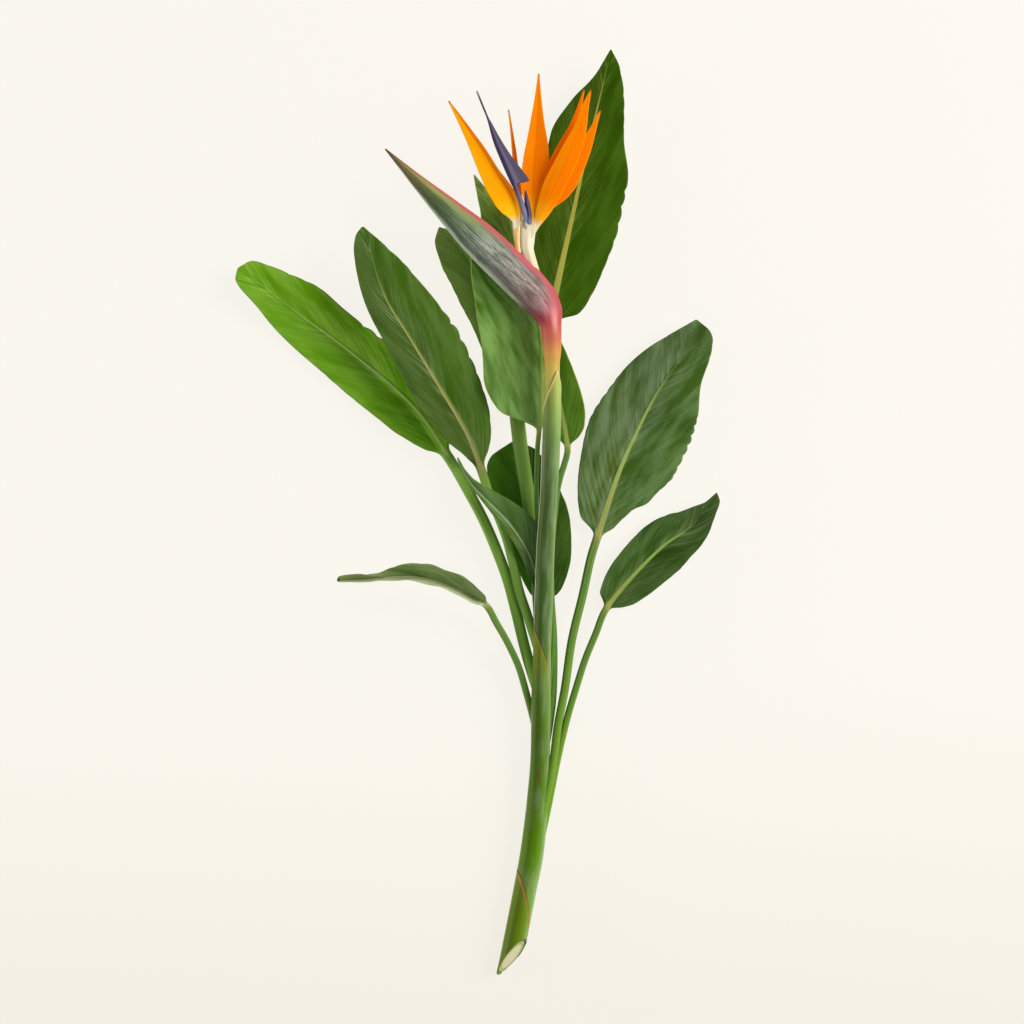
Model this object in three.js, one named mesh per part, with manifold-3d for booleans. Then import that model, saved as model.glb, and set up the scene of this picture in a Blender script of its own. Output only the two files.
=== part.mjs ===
// A cut flower stem of the bird of paradise (Strelitzia reginae) with its leaves, lying on a table.
//
// Units are millimetres.  +Y runs along the stem from its cut end to the flower, +X is to the right
// and +Z is up.  The stem rests on z = 0 on a flat strip under its heel and on two leaf ribs.
// Every stem, leaf and petal follows a smooth path given by a few points from its root outwards.

import * as THREE from "three";
import { mergeVertices } from "three/addons/utils/BufferGeometryUtils.js";
import Module from "manifold-3d";

const wasm = await Module();
wasm.setup();

// ---------------------------------------------------------------- driving dimensions

const CLEARANCE = 0.3; // gap kept between pieces that touch
const SHEATH_THICKNESS = 0.7;
const SHEATH_GAP = 0.5; // between the stalk and the inside of a sheath
const SHEATH_BUILD_UP = SHEATH_THICKNESS + SHEATH_GAP;
const SHEATH_STEP = 1; // along the stalk, from the foot of one sheath to the rim of the next
const LEAF_THICKNESS = 0.9;
const SEPAL_THICKNESS = 0.9;
const PETAL_THICKNESS = 1.2;
const ROUND_SIDES = 16; // sides of the stalk, of the neck and of the sheaths' circle
const TUBE_SIDES = 10;
const TUBE_ROWS = 7;
const STALK_COLOR = 0x8fa07a;
const SPATHE_COLOR = 0x7f8f6d;
const TUBE_COLOR = 0xe9e4bd;
const NECK_DISTANCE = 467; // along the stem axis, where the stalk ends and the spathe begins

// Axis of the stem, from below the cut to the neck under the spathe.
const STEM_AXIS = [
  [22, -377, 7.8],
  [27, -354, 7.8],
  [37, -303, 7.9],
  [43, -271, 9],
  [47, -233, 11.2],
  [49.4, -194, 14.5],
  [50.1, -149.5, 19.5],
  [51.1, -102, 26],
  [52.1, -70, 30.5],
  [53.7, -26, 36],
  [56.3, 17.4, 41],
  [57.6, 49, 44],
  [58.5, 73, 46],
  [58.6, 112, 48.6],
  [58.5, 132, 49.5],
];
// Radius over the sheaths: [share of the axis, radius].
const STEM_RADIUS = [
  [0, 9.3],
  [0.14, 9.2],
  [0.2, 9.4],
  [0.28, 8.6],
  [0.36, 7.7],
  [0.44, 7.8],
  [0.53, 7.1],
  [0.59, 7.4],
  [0.68, 7.3],
  [0.76, 6.9],
  [0.82, 7.3],
  [1, 7.2],
];
// The slanting cut through the stalk and its lowest sheath.
const CUT_POINT = [27.5, -354, 7.8];
const CUT_NORMAL = [0.67, -0.69, 0.58];

// Sheathing bracts round the stalk.  The mouth's tip lies at tipDistance along the axis, at
// tipAngle round it (0 is right, 90 is up), and the rim falls by slope * turn ^ power from there.
const SHEATH_FIRST_ANGLE = -56.25;
const SHEATH_LAST_ANGLE = 236.25;
const SHEATH_SMALLEST_RADIUS = 6.2; // inside
const SHEATH_ROWS = 11;
const STALK_ROWS = 28;
const SHEATHS = [
  { name: "sheath_upper", tipDistance: 494, tipAngle: 55, slope: 0.29, power: 1, color: 0x93a878 },
  { name: "sheath_middle", tipDistance: 292, tipAngle: 180, slope: 0.036, power: 1.4, color: 0x8c9c6c },
  { name: "sheath_lower", tipDistance: 92, tipAngle: 180, slope: 0.0018, power: 2, color: 0x86905c },
];

// The beak-shaped spathe: its path past the neck, and its half height and half thickness.
const SPATHE_PATH = [
  [58.7, 112, 48.6],
  [58.5, 131.7, 49.5],
  [57.3, 149, 50],
  [53.3, 160.8, 50.2],
  [43.6, 173.4, 50.4],
  [30.9, 186.3, 50.6],
  [2.3, 213.6, 51],
  [-23.6, 237.9, 52],
  [-49.2, 262.3, 53],
  [-72.8, 285.8, 54],
];
const SPATHE_HALF_HEIGHT = [
  [0, 6],
  [0.12, 6],
  [0.16, 7.1],
  [0.237, 8.3],
  [0.287, 12.2],
  [0.35, 15],
  [0.423, 15.5],
  [0.581, 14.6],
  [0.724, 10.4],
  [0.866, 5.2],
  [1, 0.6],
];
const SPATHE_HALF_THICKNESS = [
  [0, 6],
  [0.12, 6],
  [0.16, 7.1],
  [0.237, 7.3],
  [0.35, 9.5],
  [0.423, 9.6],
  [0.581, 8.8],
  [0.724, 6],
  [0.866, 3.2],
  [1, 0.6],
];
const SLIT_DEPTH = 2.4; // along the upper edge
const SLIT_OPENING = [0.33, 0.38]; // shares of the path over which the slit deepens
const SLIT_FADE = 0.4; // share of the path over which it runs out towards the tip
const SLIT_HALF_WIDTH = 0.02; // in half heights, the part of the oval that is drawn in
const KEEL_SHARES = [0.24, 0.34]; // over these the round neck turns into the keeled beak
const KEEL_NARROWING = 0.18; // how much thinner the beak is at its lower edge
const SPATHE_NECK = [0, 0.2];
const SPATHE_BEND = [0.24, 0.36];
const SPATHE_BEAK = [0.42, 1];

// Leaves.  The petiole runs from the stalk to the blade's base and the blade on to its tip.
// left and right are half widths as [share of the blade, width], seen from above, base to tip.
// fold tilts the two halves up from the rib, roll turns the whole blade (degrees).
const LEAVES = [
  {
    name: "leaf_tall",
    petiole: [[53, -188, 13.5], [56.5, -166, 12.5], [59, -142, 12.3], [59.3, -102, 12.5], [56.5, -54, 13],
      [57, 9.6, 13.5], [57, 73, 13.5], [56.5, 121, 13], [57, 149, 12.5]],
    blade: [[62, 176.5, 12], [74, 231, 10], [84.5, 278.5, 9], [95.5, 324.5, 13], [105.6, 367, 25]],
    petioleRadius: [[0, 3.8], [1, 4]],
    left: [[0, 4], [0.12, 20], [0.35, 27], [0.55, 31], [0.66, 31.5], [0.79, 22], [0.9, 8], [1, 0.6]],
    right: [[0, 4], [0.02, 12], [0.05, 20.5], [0.1, 26.5], [0.2, 32.5], [0.4, 38.5], [0.55, 37.8],
      [0.7, 27], [0.85, 19], [0.95, 9.8], [1, 0.6]],
    fold: [7, 7],
    roll: 0,
    wave: { height: 2, count: 4, phase: 0.1 },
    color: 0x2f6a3a,
  },
  {
    name: "leaf_back_low",
    petiole: [[49, -225, 6], [53.4, -194, 3.2], [56.5, -150, 3.6], [56.5, -102, 4.2], [53.3, -74, 4]],
    blade: [[51, -38, 4], [47, -6.4, 3.8], [39, 25.6, 4], [28, 56.7, 7]],
    petioleRadius: [[0, 2.5], [1, 2.4]],
    left: [[0, 2.4], [0.08, 12], [0.3, 23], [0.5, 28], [0.8, 30], [0.9, 27.5], [0.96, 21], [1, 0.6]],
    right: [[0, 2.4], [0.1, 15], [0.3, 24], [0.5, 26], [0.7, 22], [0.9, 15], [1, 0.6]],
    fold: [2, 2],
    roll: 0,
    wave: { height: 1, count: 2, phase: 0 },
    color: 0x24502c,
  },
  {
    name: "leaf_right_lower",
    petiole: [[44, -284, 8.5], [50, -262, 8], [56.5, -232, 7.5], [63.7, -195.5, 8.5], [71, -164.5, 9.5],
      [77.6, -142, 10.5],
      [85.2, -118, 10.5], [94, -96.5, 10], [102, -77.4, 9]],
    blade: [[120.8, -54, 7], [146.7, -28, 6], [170.6, -10.4, 9], [190, 15, 19]],
    petioleRadius: [[0, 2.8], [1, 2.8]],
    left: [[0, 2.8], [0.06, 12], [0.25, 19.5], [0.5, 21.5], [0.65, 19], [0.82, 11], [0.92, 3], [1, 0.6]],
    right: [[0, 2.8], [0.14, 16], [0.31, 21], [0.5, 23], [0.69, 18], [0.87, 10], [0.97, 6], [1, 0.6]],
    fold: [8, 8],
    roll: 0,
    wave: { height: 1, count: 2, phase: 0.2 },
    color: 0x5a8548,
  },
  {
    name: "leaf_right_upper",
    petiole: [[49.3, -249.5, 13.5], [56.5, -217.5, 14.5], [60.4, -195, 14.5], [63.6, -169.7, 15],
      [69.2, -140, 15.5],
      [74.7, -102, 15], [83.4, -66, 13], [89.5, -38, 11], [94.8, -20.7, 9]],
    blade: [[102.5, 3.2, 7], [112, 30.7, 4.2], [122.5, 55, 2.5], [141.5, 93, 5], [164.2, 127.6, 11],
      [174.2, 152.8, 18]],
    petioleRadius: [[0, 3.3], [1, 3.4]],
    left: [[0, 3.4], [0.03, 11], [0.06, 17.5], [0.14, 25.5], [0.28, 33], [0.45, 39], [0.6, 35],
      [0.75, 28.5], [0.9, 17], [1, 1]],
    right: [[0, 3.4], [0.04, 8.5], [0.09, 13.5], [0.16, 21.5], [0.2, 30], [0.25, 34], [0.36, 42],
      [0.5, 43], [0.66, 38], [0.8, 24.5], [0.95, 17], [0.98, 12], [1, 1]],
    fold: [8, 8],
    roll: 0,
    wave: { height: 1.5, count: 3, phase: 0.3 },
    color: 0x55804a,
  },
  {
    name: "leaf_back_left",
    petiole: [[49.3, -204, 10.5], [50.1, -178, 8.5], [50.1, -150, 7.7], [49.4, -110, 8], [47, -54, 9.5],
      [43.8, -14.3, 12], [39, 17.5, 15], [34.6, 45.4, 17], [31.4, 71.7, 16.5], [29.4, 89.2, 15]],
    blade: [[19.8, 129, 13], [7, 169, 12], [-9.6, 200.8, 14], [-31, 226.2, 21]],
    petioleRadius: [[0, 4], [0.35, 4.2], [0.65, 5.6], [1, 6]],
    left: [[0, 6], [0.2, 14], [0.42, 18], [0.6, 21], [0.79, 20], [0.9, 15], [0.96, 10], [1, 0.6]],
    right: [[0, 6], [0.3, 16], [0.6, 16], [0.87, 8], [0.94, 6], [1, 0.6]],
    fold: [5, 5],
    roll: 0,
    wave: { height: 1, count: 2, phase: 0.4 },
    color: 0x4f7c46,
  },
  {
    name: "leaf_left_outer",
    petiole: [[53.2, -157.5, 18.5], [44.9, -133.7, 17.5], [37.7, -109.9, 16], [29.9, -78.1, 15],
      [21.7, -48.6, 14.5], [5.9, -9.6, 14], [-10.6, 21.5, 12.5], [-24.4, 44.7, 10]],
    blade: [[-53.6, 85.4, 6.5], [-102.5, 128, 2.6], [-142.5, 157.5, 5], [-191, 194, 18]],
    petioleRadius: [[0, 4.4], [1, 4.2]],
    left: [[0, 4.2], [0.03, 8], [0.06, 12.5], [0.11, 18.5], [0.21, 25.5], [0.4, 28], [0.6, 26],
      [0.76, 21.5], [0.88, 15], [0.95, 12], [0.985, 8.5], [1, 1]],
    right: [[0, 4.2], [0.05, 10], [0.1, 16], [0.25, 23], [0.46, 25], [0.54, 24], [0.6, 24.5],
      [0.72, 27], [0.85, 21.2], [0.94, 15.5], [0.98, 11], [1, 1]],
    fold: [8, 8],
    roll: 0,
    wave: { height: 1.5, count: 3, phase: 0 },
    color: 0x6f9a52,
  },
  {
    name: "leaf_left_inner",
    petiole: [[52.8, -127.1, 25], [46.9, -105.7, 22], [38.1, -78.7, 20.5], [32.6, -62, 20.5],
      [26.6, -35.8, 21], [21, -15.9, 21.5], [8.3, 15.9, 22.5], [2.6, 33.4, 23]],
    blade: [[-8.9, 62, 24], [-30.2, 98.5, 25], [-53.2, 136.5, 27], [-75.5, 174.4, 31], [-91.3, 225.5, 38]],
    petioleRadius: [[0, 3.9], [1, 3.6]],
    left: [[0, 3.6], [0.06, 9], [0.18, 22], [0.35, 26], [0.6, 22], [0.8, 18], [0.92, 14.2], [0.98, 8],
      [1, 1]],
    right: [[0, 3.6], [0.05, 9.5], [0.09, 15.5], [0.19, 25.5], [0.3, 31.2], [0.4, 34.5], [0.5, 36.2],
      [0.57, 34.5], [0.68, 32], [0.81, 25.5], [0.9, 15], [1, 1]],
    fold: [32, 4],
    roll: 0,
    wave: { height: 1.8, count: 4, phase: 0.25 },
    color: 0x35683a,
  },
  {
    name: "leaf_centre_folded",
    petiole: [[54, -106, 26], [51.6, -82, 24.5], [49.2, -65, 24]],
    blade: [[43.7, -42.9, 26], [36.5, -26.2, 28], [23.8, -7.9, 30.5], [8.8, 7.5, 32.5],
      [-3.1, 19.8, 34], [-11, 31.7, 35.5], [-16.1, 43.1, 36]],
    petioleRadius: [[0, 3], [1, 2.6]],
    left: [[0, 2.6], [0.17, 6.8], [0.38, 6.8], [0.585, 5.5], [0.745, 3], [0.88, 2.5], [1, 0.6]],
    right: [[0, 2.6], [0.17, 16], [0.38, 18], [0.585, 13], [0.745, 7.2], [0.88, 2.6], [1, 0.6]],
    fold: [25, 2],
    roll: 0,
    wave: { height: 0.6, count: 2, phase: 0 },
    color: 0x3f7040,
  },
  {
    name: "leaf_centre",
    petiole: [[54.8, -113.5, 21], [54, -78, 18.5], [50, -42, 19.5], [47.3, -6.3, 23.5], [46.4, 17.4, 27],
      [47.2, 49, 30.5], [48.4, 63.4, 31.5]],
    blade: [[50, 88.8, 31], [49.6, 132.4, 31.5], [42.8, 171.2, 32], [29.4, 206, 33], [13.5, 237.6, 34],
      [-3, 266.7, 37]],
    petioleRadius: [[0, 2], [1, 2]],
    left: [[0, 2], [0.03, 20], [0.08, 35], [0.2, 46], [0.45, 47], [0.6, 43], [0.73, 34], [0.84, 13],
      [0.93, 6], [1, 0.6]],
    right: [[0, 2], [0.08, 9], [0.3, 13], [0.6, 10], [0.81, 9], [0.92, 4], [1, 0.6]],
    fold: [4, -20],
    roll: 0,
    wave: { height: 1.5, count: 3, phase: 0.5 },
    color: 0x3b7445,
  },
  {
    name: "leaf_centre_right",
    petiole: [[55.6, -141.5, 19], [58.8, -109.7, 19.8], [58.8, -78, 19.5], [58, -38, 20], [62, 9.5, 21],
      [65.2, 27, 21.5], [69.1, 39.7, 21.5], [71.1, 51.7, 21.5]],
    blade: [[66.7, 78, 21.5], [62, 101, 21.5], [58, 128.7, 22.5], [54.8, 158.8, 24]],
    petioleRadius: [[0, 2.4], [1, 2.5]],
    left: [[0, 2.5], [0.15, 10], [0.4, 14], [0.7, 9], [1, 0.6]],
    right: [[0, 2.5], [0.05, 9], [0.13, 16], [0.27, 19], [0.39, 18.5], [0.54, 16], [0.75, 10], [1, 0.6]],
    fold: [0, 8],
    roll: 0,
    wave: { height: 0.8, count: 2, phase: 0 },
    color: 0x7ba458,
  },
  {
    name: "leaf_left_low",
    petiole: [[49.3, -193.5, 13], [44.5, -167.5, 15], [37.8, -141.7, 17], [31.8, -121.9, 18.5],
      [22.6, -102.2, 20.5], [14.4, -87.9, 22], [6.8, -74.6, 24]],
    blade: [[-6.3, -66.9, 26], [-22.2, -59.2, 28], [-42, -53, 29], [-62, -51.4, 28], [-86, -53.6, 25],
      [-112, -54.6, 21]],
    petioleRadius: [[0, 2.7], [1, 2.7]],
    left: [[0, 2.7], [0.12, 14], [0.3, 20], [0.5, 20], [0.65, 14], [0.8, 10.5], [0.94, 9],
      [0.985, 5.5], [1, 1]],
    right: [[0, 2.7], [0.04, 14], [0.1, 18], [0.2, 21], [0.5, 21], [0.62, 14], [0.75, 9], [0.94, 8.5],
      [0.985, 5.5], [1, 1]],
    fold: [68, 68],
    roll: 13,
    wave: { height: 3.2, count: 5, phase: 0.15 },
    color: 0x4f7d45,
  },
];

// The two flowers.  Each has a stiff tube that comes out of the spathe's slit and three sepals.
const TUBES = [
  {
    name: "flower_front_tube",
    path: [[34.9, 190.7, 51], [31.6, 206.4, 51.5], [30.6, 217.4, 52.5], [30.5, 227.6, 53.5]],
    halfWidth: [[0, 2.2], [0.5, 2.2], [1, 3]],
    halfDepth: [[0, 2.2], [0.7, 2.2], [1, 0.7]],
  },
  {
    name: "flower_back_tube",
    path: [[44.3, 187.6, 49.5], [39, 205.8, 49.5], [38.3, 216, 49.5], [39.5, 222.3, 50],
      [41.2, 229.4, 50.5]],
    halfWidth: [[0, 4.8], [0.45, 5.1], [0.68, 5.5], [0.84, 6.4], [1, 8]],
    halfDepth: [[0, 4.6], [0.7, 4.4], [0.87, 3.2], [1, 0.6]],
  },
];
const SEPALS = [
  {
    name: "flower_front_sepal_left",
    path: [[30.6, 219.6, 55.4], [30.6, 228.2, 56.2], [29.8, 237.5, 57.5], [26.6, 247.6, 59],
      [21.5, 257, 60], [13.3, 269.1, 61], [4.1, 283.9, 62], [-7.2, 300, 62.5], [-22.7, 322.9, 61]],
    left: [[0, 2.2], [0.06, 2.8], [0.155, 11.5], [0.25, 15.2], [0.335, 15.5], [0.455, 13], [0.6, 9.9],
      [0.77, 5.2], [1, 0.6]],
    right: [[0, 2.2], [0.06, 2.8], [0.155, 4.2], [0.25, 5.2], [0.455, 3.4], [0.6, 3.2], [0.77, 2.6],
      [1, 0.6]],
    fold: [14, 38],
    color: 0xf8981d,
  },
  {
    name: "flower_front_sepal_back",
    path: [[34.1, 227, 50], [32.9, 246.4, 44], [29.5, 276.9, 38], [26.6, 302.6, 34], [24.3, 318.7, 31]],
    left: [[0, 1.5], [0.3, 2.2], [0.6, 1.9], [0.8, 1.2], [1, 0.6]],
    right: [[0, 1.5], [0.3, 2.4], [0.6, 2.1], [0.8, 1.2], [1, 0.6]],
    fold: [-20, -20],
    color: 0xf07c12,
  },
  {
    name: "flower_front_sepal_right",
    path: [[39.6, 217.3, 54.7], [42, 225.1, 55], [43.1, 241.8, 53.5], [43.5, 257.6, 52],
      [44.8, 277.4, 50.5], [46.4, 305.1, 50], [48.1, 345.1, 52]],
    left: [[0, 3.6], [0.068, 3.4], [0.19, 5.5], [0.27, 9], [0.35, 10], [0.47, 9.2], [0.59, 7.2],
      [0.68, 5.6], [0.84, 2.8], [1, 0.6]],
    right: [[0, 3.6], [0.068, 3.6], [0.19, 7.5], [0.3, 11], [0.47, 11.6], [0.59, 9.6], [0.68, 6.8],
      [0.84, 3.2], [1, 0.6]],
    fold: [10, 10],
    color: 0xf58a18,
  },
  {
    name: "flower_back_sepal_left",
    path: [[41.6, 217.3, 54.3], [45.5, 225.1, 54.8], [52.6, 239.2, 56.8], [61.2, 257.8, 59.5],
      [71, 279.7, 61.5], [80.6, 306.3, 62.5], [88.9, 331.5, 62]],
    left: [[0, 3], [0.07, 3], [0.19, 6.5], [0.36, 9], [0.555, 7.6], [0.685, 5], [0.79, 2.8],
      [0.89, 2.6], [1, 0.6]],
    right: [[0, 1.5], [0.07, 2.8], [0.19, 6], [0.36, 8.2], [0.555, 8.8], [0.7, 7.8], [0.79, 5.8],
      [0.89, 2.8], [1, 0.6]],
    fold: [-5, -9],
    color: 0xf6911c,
  },
  {
    name: "flower_back_sepal_right",
    path: [[43.2, 217.6, 49.5], [46.2, 225.4, 50], [53.8, 241.1, 51], [61.7, 253.6, 52.5],
      [71.5, 267.7, 54], [82.1, 284.1, 55.5], [89.5, 299, 56.5], [96.5, 315.8, 57]],
    left: [[0, 2], [0.09, 2.6], [0.24, 5], [0.37, 8], [0.55, 8], [0.69, 5.5], [0.84, 2.8], [0.92, 1.6],
      [1, 0.6]],
    right: [[0, 1], [0.09, 2.6], [0.18, 4.4], [0.24, 6], [0.31, 9], [0.37, 11], [0.44, 11.6],
      [0.52, 10.6], [0.69, 6.8], [0.84, 3.4], [0.92, 1.8], [1, 0.6]],
    fold: [-8, -8],
    color: 0xef7d14,
  },
  {
    name: "flower_back_sepal_back",
    path: [[42, 217.8, 47], [45.2, 225.7, 46], [49.9, 242.4, 45], [57, 262.1, 45], [67.1, 284.1, 46],
      [76.7, 306.1, 47], [83.9, 333.2, 48]],
    left: [[0, 2], [0.07, 2.2], [0.21, 5], [0.38, 7], [0.57, 6.4], [0.77, 3.8], [0.89, 2], [1, 0.6]],
    right: [[0, 2], [0.07, 2.2], [0.35, 7], [0.57, 6], [0.77, 2.8], [0.89, 1.6], [1, 0.6]],
    fold: [-10, -10],
    color: 0xd9690e,
  },
];
// The blue arrow of two joined petals that holds the style, and the small third petal at its foot.
// sweep is how far, per width, the margins lie behind the middle.
const TONGUE = {
  name: "flower_front_tongue",
  path: [[39, 224.2, 56.6], [38, 231.1, 59], [35.6, 239.6, 61.3], [32.5, 248.1, 63.5],
    [28.6, 258.1, 65.5], [21.9, 274, 68], [14.5, 290.7, 70.5], [8.1, 308.1, 72.5], [3.5, 319.4, 73],
    [-0.6, 329.6, 73]],
  left: [[0, 2.4], [0.2, 2.1], [0.3, 2.2], [0.33, 2.6], [0.46, 3], [0.62, 2.5], [0.76, 1.2],
    [0.81, 0.8], [1, 0.8]],
  right: [[0, 2], [0.3, 2.1], [0.312, 3], [0.325, 12.6], [0.4, 10.4], [0.51, 6.7], [0.65, 4],
    [0.78, 1.4], [0.81, 0.8], [1, 0.8]],
  stations: [0, 0.1, 0.2, 0.3, 0.312, 0.325, 0.36, 0.42, 0.5, 0.57, 0.64, 0.71, 0.78, 0.81, 0.9, 1],
  fold: [-15, -15],
  sweep: 0.3,
  color: 0x4a3f72,
};
const SMALL_PETAL = {
  name: "flower_front_small_petal",
  path: [[40.8, 225, 56.4], [40.3, 234.3, 59.2], [38.8, 243.6, 61], [37.4, 253.3, 62]],
  left: [[0, 1.4], [0.3, 2.4], [0.6, 2.3], [1, 0.6]],
  right: [[0, 1.4], [0.3, 2.4], [0.6, 2.1], [1, 0.6]],
  fold: [-20, -20],
  sweep: 0,
  color: 0x5a4d80,
};

// ---------------------------------------------------------------- curves and profiles

const DIVISIONS = 40; // arc length samples per span of a path
const UP = new THREE.Vector3(0, 0, 1);
const radians = THREE.MathUtils.degToRad;

class Path {
  constructor(points) {
    const corners = points.map((p) => new THREE.Vector3(...p));
    this.curve = new THREE.CatmullRomCurve3(corners, false, "catmullrom", 0.5);
    this.curve.arcLengthDivisions = DIVISIONS * (points.length - 1);
    this.lengths = this.curve.getLengths();
    this.length = this.lengths[this.lengths.length - 1];
  }

  // Share of the length at which the given control point lies.
  shareOf(index) {
    return this.lengths[DIVISIONS * index] / this.length;
  }

  // Centre, direction, sideways (to the right, seen from above) and normal (upwards) at a share.
  frame(share, roll = 0) {
    const centre = this.curve.getPointAt(share);
    const along = this.curve.getTangentAt(share);
    const normal = UP.clone().addScaledVector(along, -along.z).normalize();
    const side = along.clone().cross(normal);
    const turnedNormal = normal.clone().multiplyScalar(Math.cos(roll)).addScaledVector(side, Math.sin(roll));
    const turnedSide = side.clone().multiplyScalar(Math.cos(roll)).addScaledVector(normal, -Math.sin(roll));
    return { centre, along, side: turnedSide, normal: turnedNormal };
  }

  // Frames at the given shares, with the two outer ones moved outwards along the path by grow.
  frames(shares, grow, rollAt = () => 0) {
    const frames = shares.map((share) => this.frame(share, rollAt(share)));
    const last = frames[frames.length - 1];
    frames[0].centre.addScaledVector(frames[0].along, -grow);
    last.centre.addScaledVector(last.along, grow);
    return frames;
  }
}

// Smooth curve through [share, value] pairs that never overshoots them.
function profile(pairs, share) {
  const last = pairs.length - 1;
  if (share <= pairs[0][0]) return pairs[0][1];
  if (share >= pairs[last][0]) return pairs[last][1];
  const i = pairs.findIndex((pair) => pair[0] > share) - 1;
  const slope = (k) => (pairs[k + 1][1] - pairs[k][1]) / (pairs[k + 1][0] - pairs[k][0]);
  const tangent = (k) => {
    if (k === 0) return slope(0);
    if (k === last) return slope(last - 1);
    const before = slope(k - 1);
    const after = slope(k);
    return before * after <= 0 ? 0 : (2 * before * after) / (before + after);
  };
  const span = pairs[i + 1][0] - pairs[i][0];
  const t = (share - pairs[i][0]) / span;
  const bend = (pairs[i][1] * (1 + 2 * t) + tangent(i) * span * t) * (1 - t) ** 2;
  return bend + (pairs[i + 1][1] * (3 - 2 * t) - tangent(i + 1) * span * (1 - t)) * t ** 2;
}

function evenShares(from, to, count) {
  return Array.from({ length: count + 1 }, (_, i) => from + ((to - from) * i) / count);
}

// ---------------------------------------------------------------- closed meshes

function meshGeometry(points, triangles) {
  const geometry = new THREE.BufferGeometry();
  const coordinates = points.flatMap((p) => [p.x, p.y, p.z]);
  geometry.setAttribute("position", new THREE.Float32BufferAttribute(coordinates, 3));
  geometry.setIndex(triangles);
  return geometry;
}

// A sheet between two grids of points: rows run along it, columns from its left to its right.
// Both faces are split along the same diagonals, so the sheet keeps its thickness.
function slab(top, bottom) {
  const rows = top.length;
  const columns = top[0].length;
  const triangles = [];
  const upper = (i, j) => i * columns + j;
  const lower = (i, j) => rows * columns + i * columns + j;
  const quad = (a, b, c, d) => triangles.push(a, b, c, a, c, d);
  for (let i = 0; i < rows - 1; i++) {
    for (let j = 0; j < columns - 1; j++) {
      quad(upper(i, j), upper(i, j + 1), upper(i + 1, j + 1), upper(i + 1, j));
      quad(lower(i, j), lower(i + 1, j), lower(i + 1, j + 1), lower(i, j + 1));
    }
    quad(upper(i, 0), upper(i + 1, 0), lower(i + 1, 0), lower(i, 0));
    quad(upper(i + 1, columns - 1), upper(i, columns - 1), lower(i, columns - 1), lower(i + 1, columns - 1));
  }
  for (let j = 0; j < columns - 1; j++) {
    quad(upper(0, j), lower(0, j), lower(0, j + 1), upper(0, j + 1));
    quad(upper(rows - 1, j + 1), lower(rows - 1, j + 1), lower(rows - 1, j), upper(rows - 1, j));
  }
  return meshGeometry([...top.flat(), ...bottom.flat()], triangles);
}

// A closed body through rings of points that run anticlockwise seen from the far end.
function loft(rings) {
  const sides = rings[0].length;
  const triangles = [];
  const middle = (ring) => ring.reduce((sum, p) => sum.add(p), new THREE.Vector3()).divideScalar(sides);
  const points = [...rings.flat(), middle(rings[0]), middle(rings[rings.length - 1])];
  const startHub = points.length - 2;
  const endHub = points.length - 1;
  const lastRing = (rings.length - 1) * sides;
  for (let k = 0; k < sides; k++) {
    const next = (k + 1) % sides;
    for (let i = 0; i < rings.length - 1; i++) {
      const here = i * sides;
      const beyond = here + sides;
      triangles.push(here + k, here + next, beyond + next, here + k, beyond + next, beyond + k);
    }
    triangles.push(startHub, next, k, endHub, lastRing + k, lastRing + next);
  }
  return meshGeometry(points, triangles);
}

// Point of a cross-section at an offset to the side and along the normal of a path's frame.
function placed(frame, sideways, upwards) {
  return frame.centre.clone().addScaledVector(frame.side, sideways).addScaledVector(frame.normal, upwards);
}

function toSolid(geometry) {
  const merged = mergeVertices(geometry, 1e-4);
  const mesh = new wasm.Mesh({
    numProp: 3,
    vertProperties: merged.attributes.position.array,
    triVerts: Uint32Array.from(merged.index.array),
  });
  return new wasm.Manifold(mesh);
}

function toGeometry(solid) {
  const mesh = solid.getMesh();
  const geometry = new THREE.BufferGeometry();
  const coordinates = Float32Array.from(mesh.vertProperties);
  geometry.setAttribute("position", new THREE.Float32BufferAttribute(coordinates, 3));
  geometry.setIndex(Array.from(mesh.triVerts));
  return geometry;
}

// The solid less its cutters, without the scraps that a cut may leave.
function trimmed(solid, cutters) {
  const cut = cutters.reduce((rest, cutter) => rest.subtract(cutter), solid);
  return cut.decompose().sort((a, b) => b.volume() - a.volume())[0];
}

// A large block whose face passes through a point, with the block on the side of the normal.
function blockBeyond(point, normal) {
  const size = 1200;
  const direction = new THREE.Vector3(...normal).normalize();
  const geometry = new THREE.BoxGeometry(size, size, size);
  geometry.deleteAttribute("normal");
  geometry.deleteAttribute("uv");
  geometry.applyQuaternion(new THREE.Quaternion().setFromUnitVectors(UP, direction));
  const centre = new THREE.Vector3(...point).addScaledVector(direction, size / 2);
  geometry.translate(centre.x, centre.y, centre.z);
  return toSolid(geometry);
}

// ---------------------------------------------------------------- stalk and sheaths

const stemPath = new Path(STEM_AXIS);
const sectionAngle = 360 / ROUND_SIDES;
const coreRadius = (share) => profile(STEM_RADIUS, share) - SHEATH_BUILD_UP;

function ovalRing(frame, halfWidth, halfDepth, sides) {
  return Array.from({ length: sides }, (_, k) => {
    const angle = radians((360 / sides) * (k + 0.5));
    return placed(frame, -halfWidth * Math.cos(angle), halfDepth * Math.sin(angle));
  });
}

function stalkGeometry(grow) {
  const shares = evenShares(0, NECK_DISTANCE / stemPath.length, STALK_ROWS);
  const rings = stemPath.frames(shares, grow).map((frame, i) => {
    const radius = coreRadius(shares[i]) + grow;
    return ovalRing(frame, radius, radius, ROUND_SIDES);
  });
  return loft(rings);
}

// Distance along the axis of a sheath's rim, at an angle round the stalk.
function rimDistance(sheath, angle) {
  const turn = Math.abs(angle - sheath.tipAngle);
  const shortest = Math.min(turn, 360 - turn);
  return sheath.tipDistance - sheath.slope * shortest ** sheath.power;
}

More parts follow.
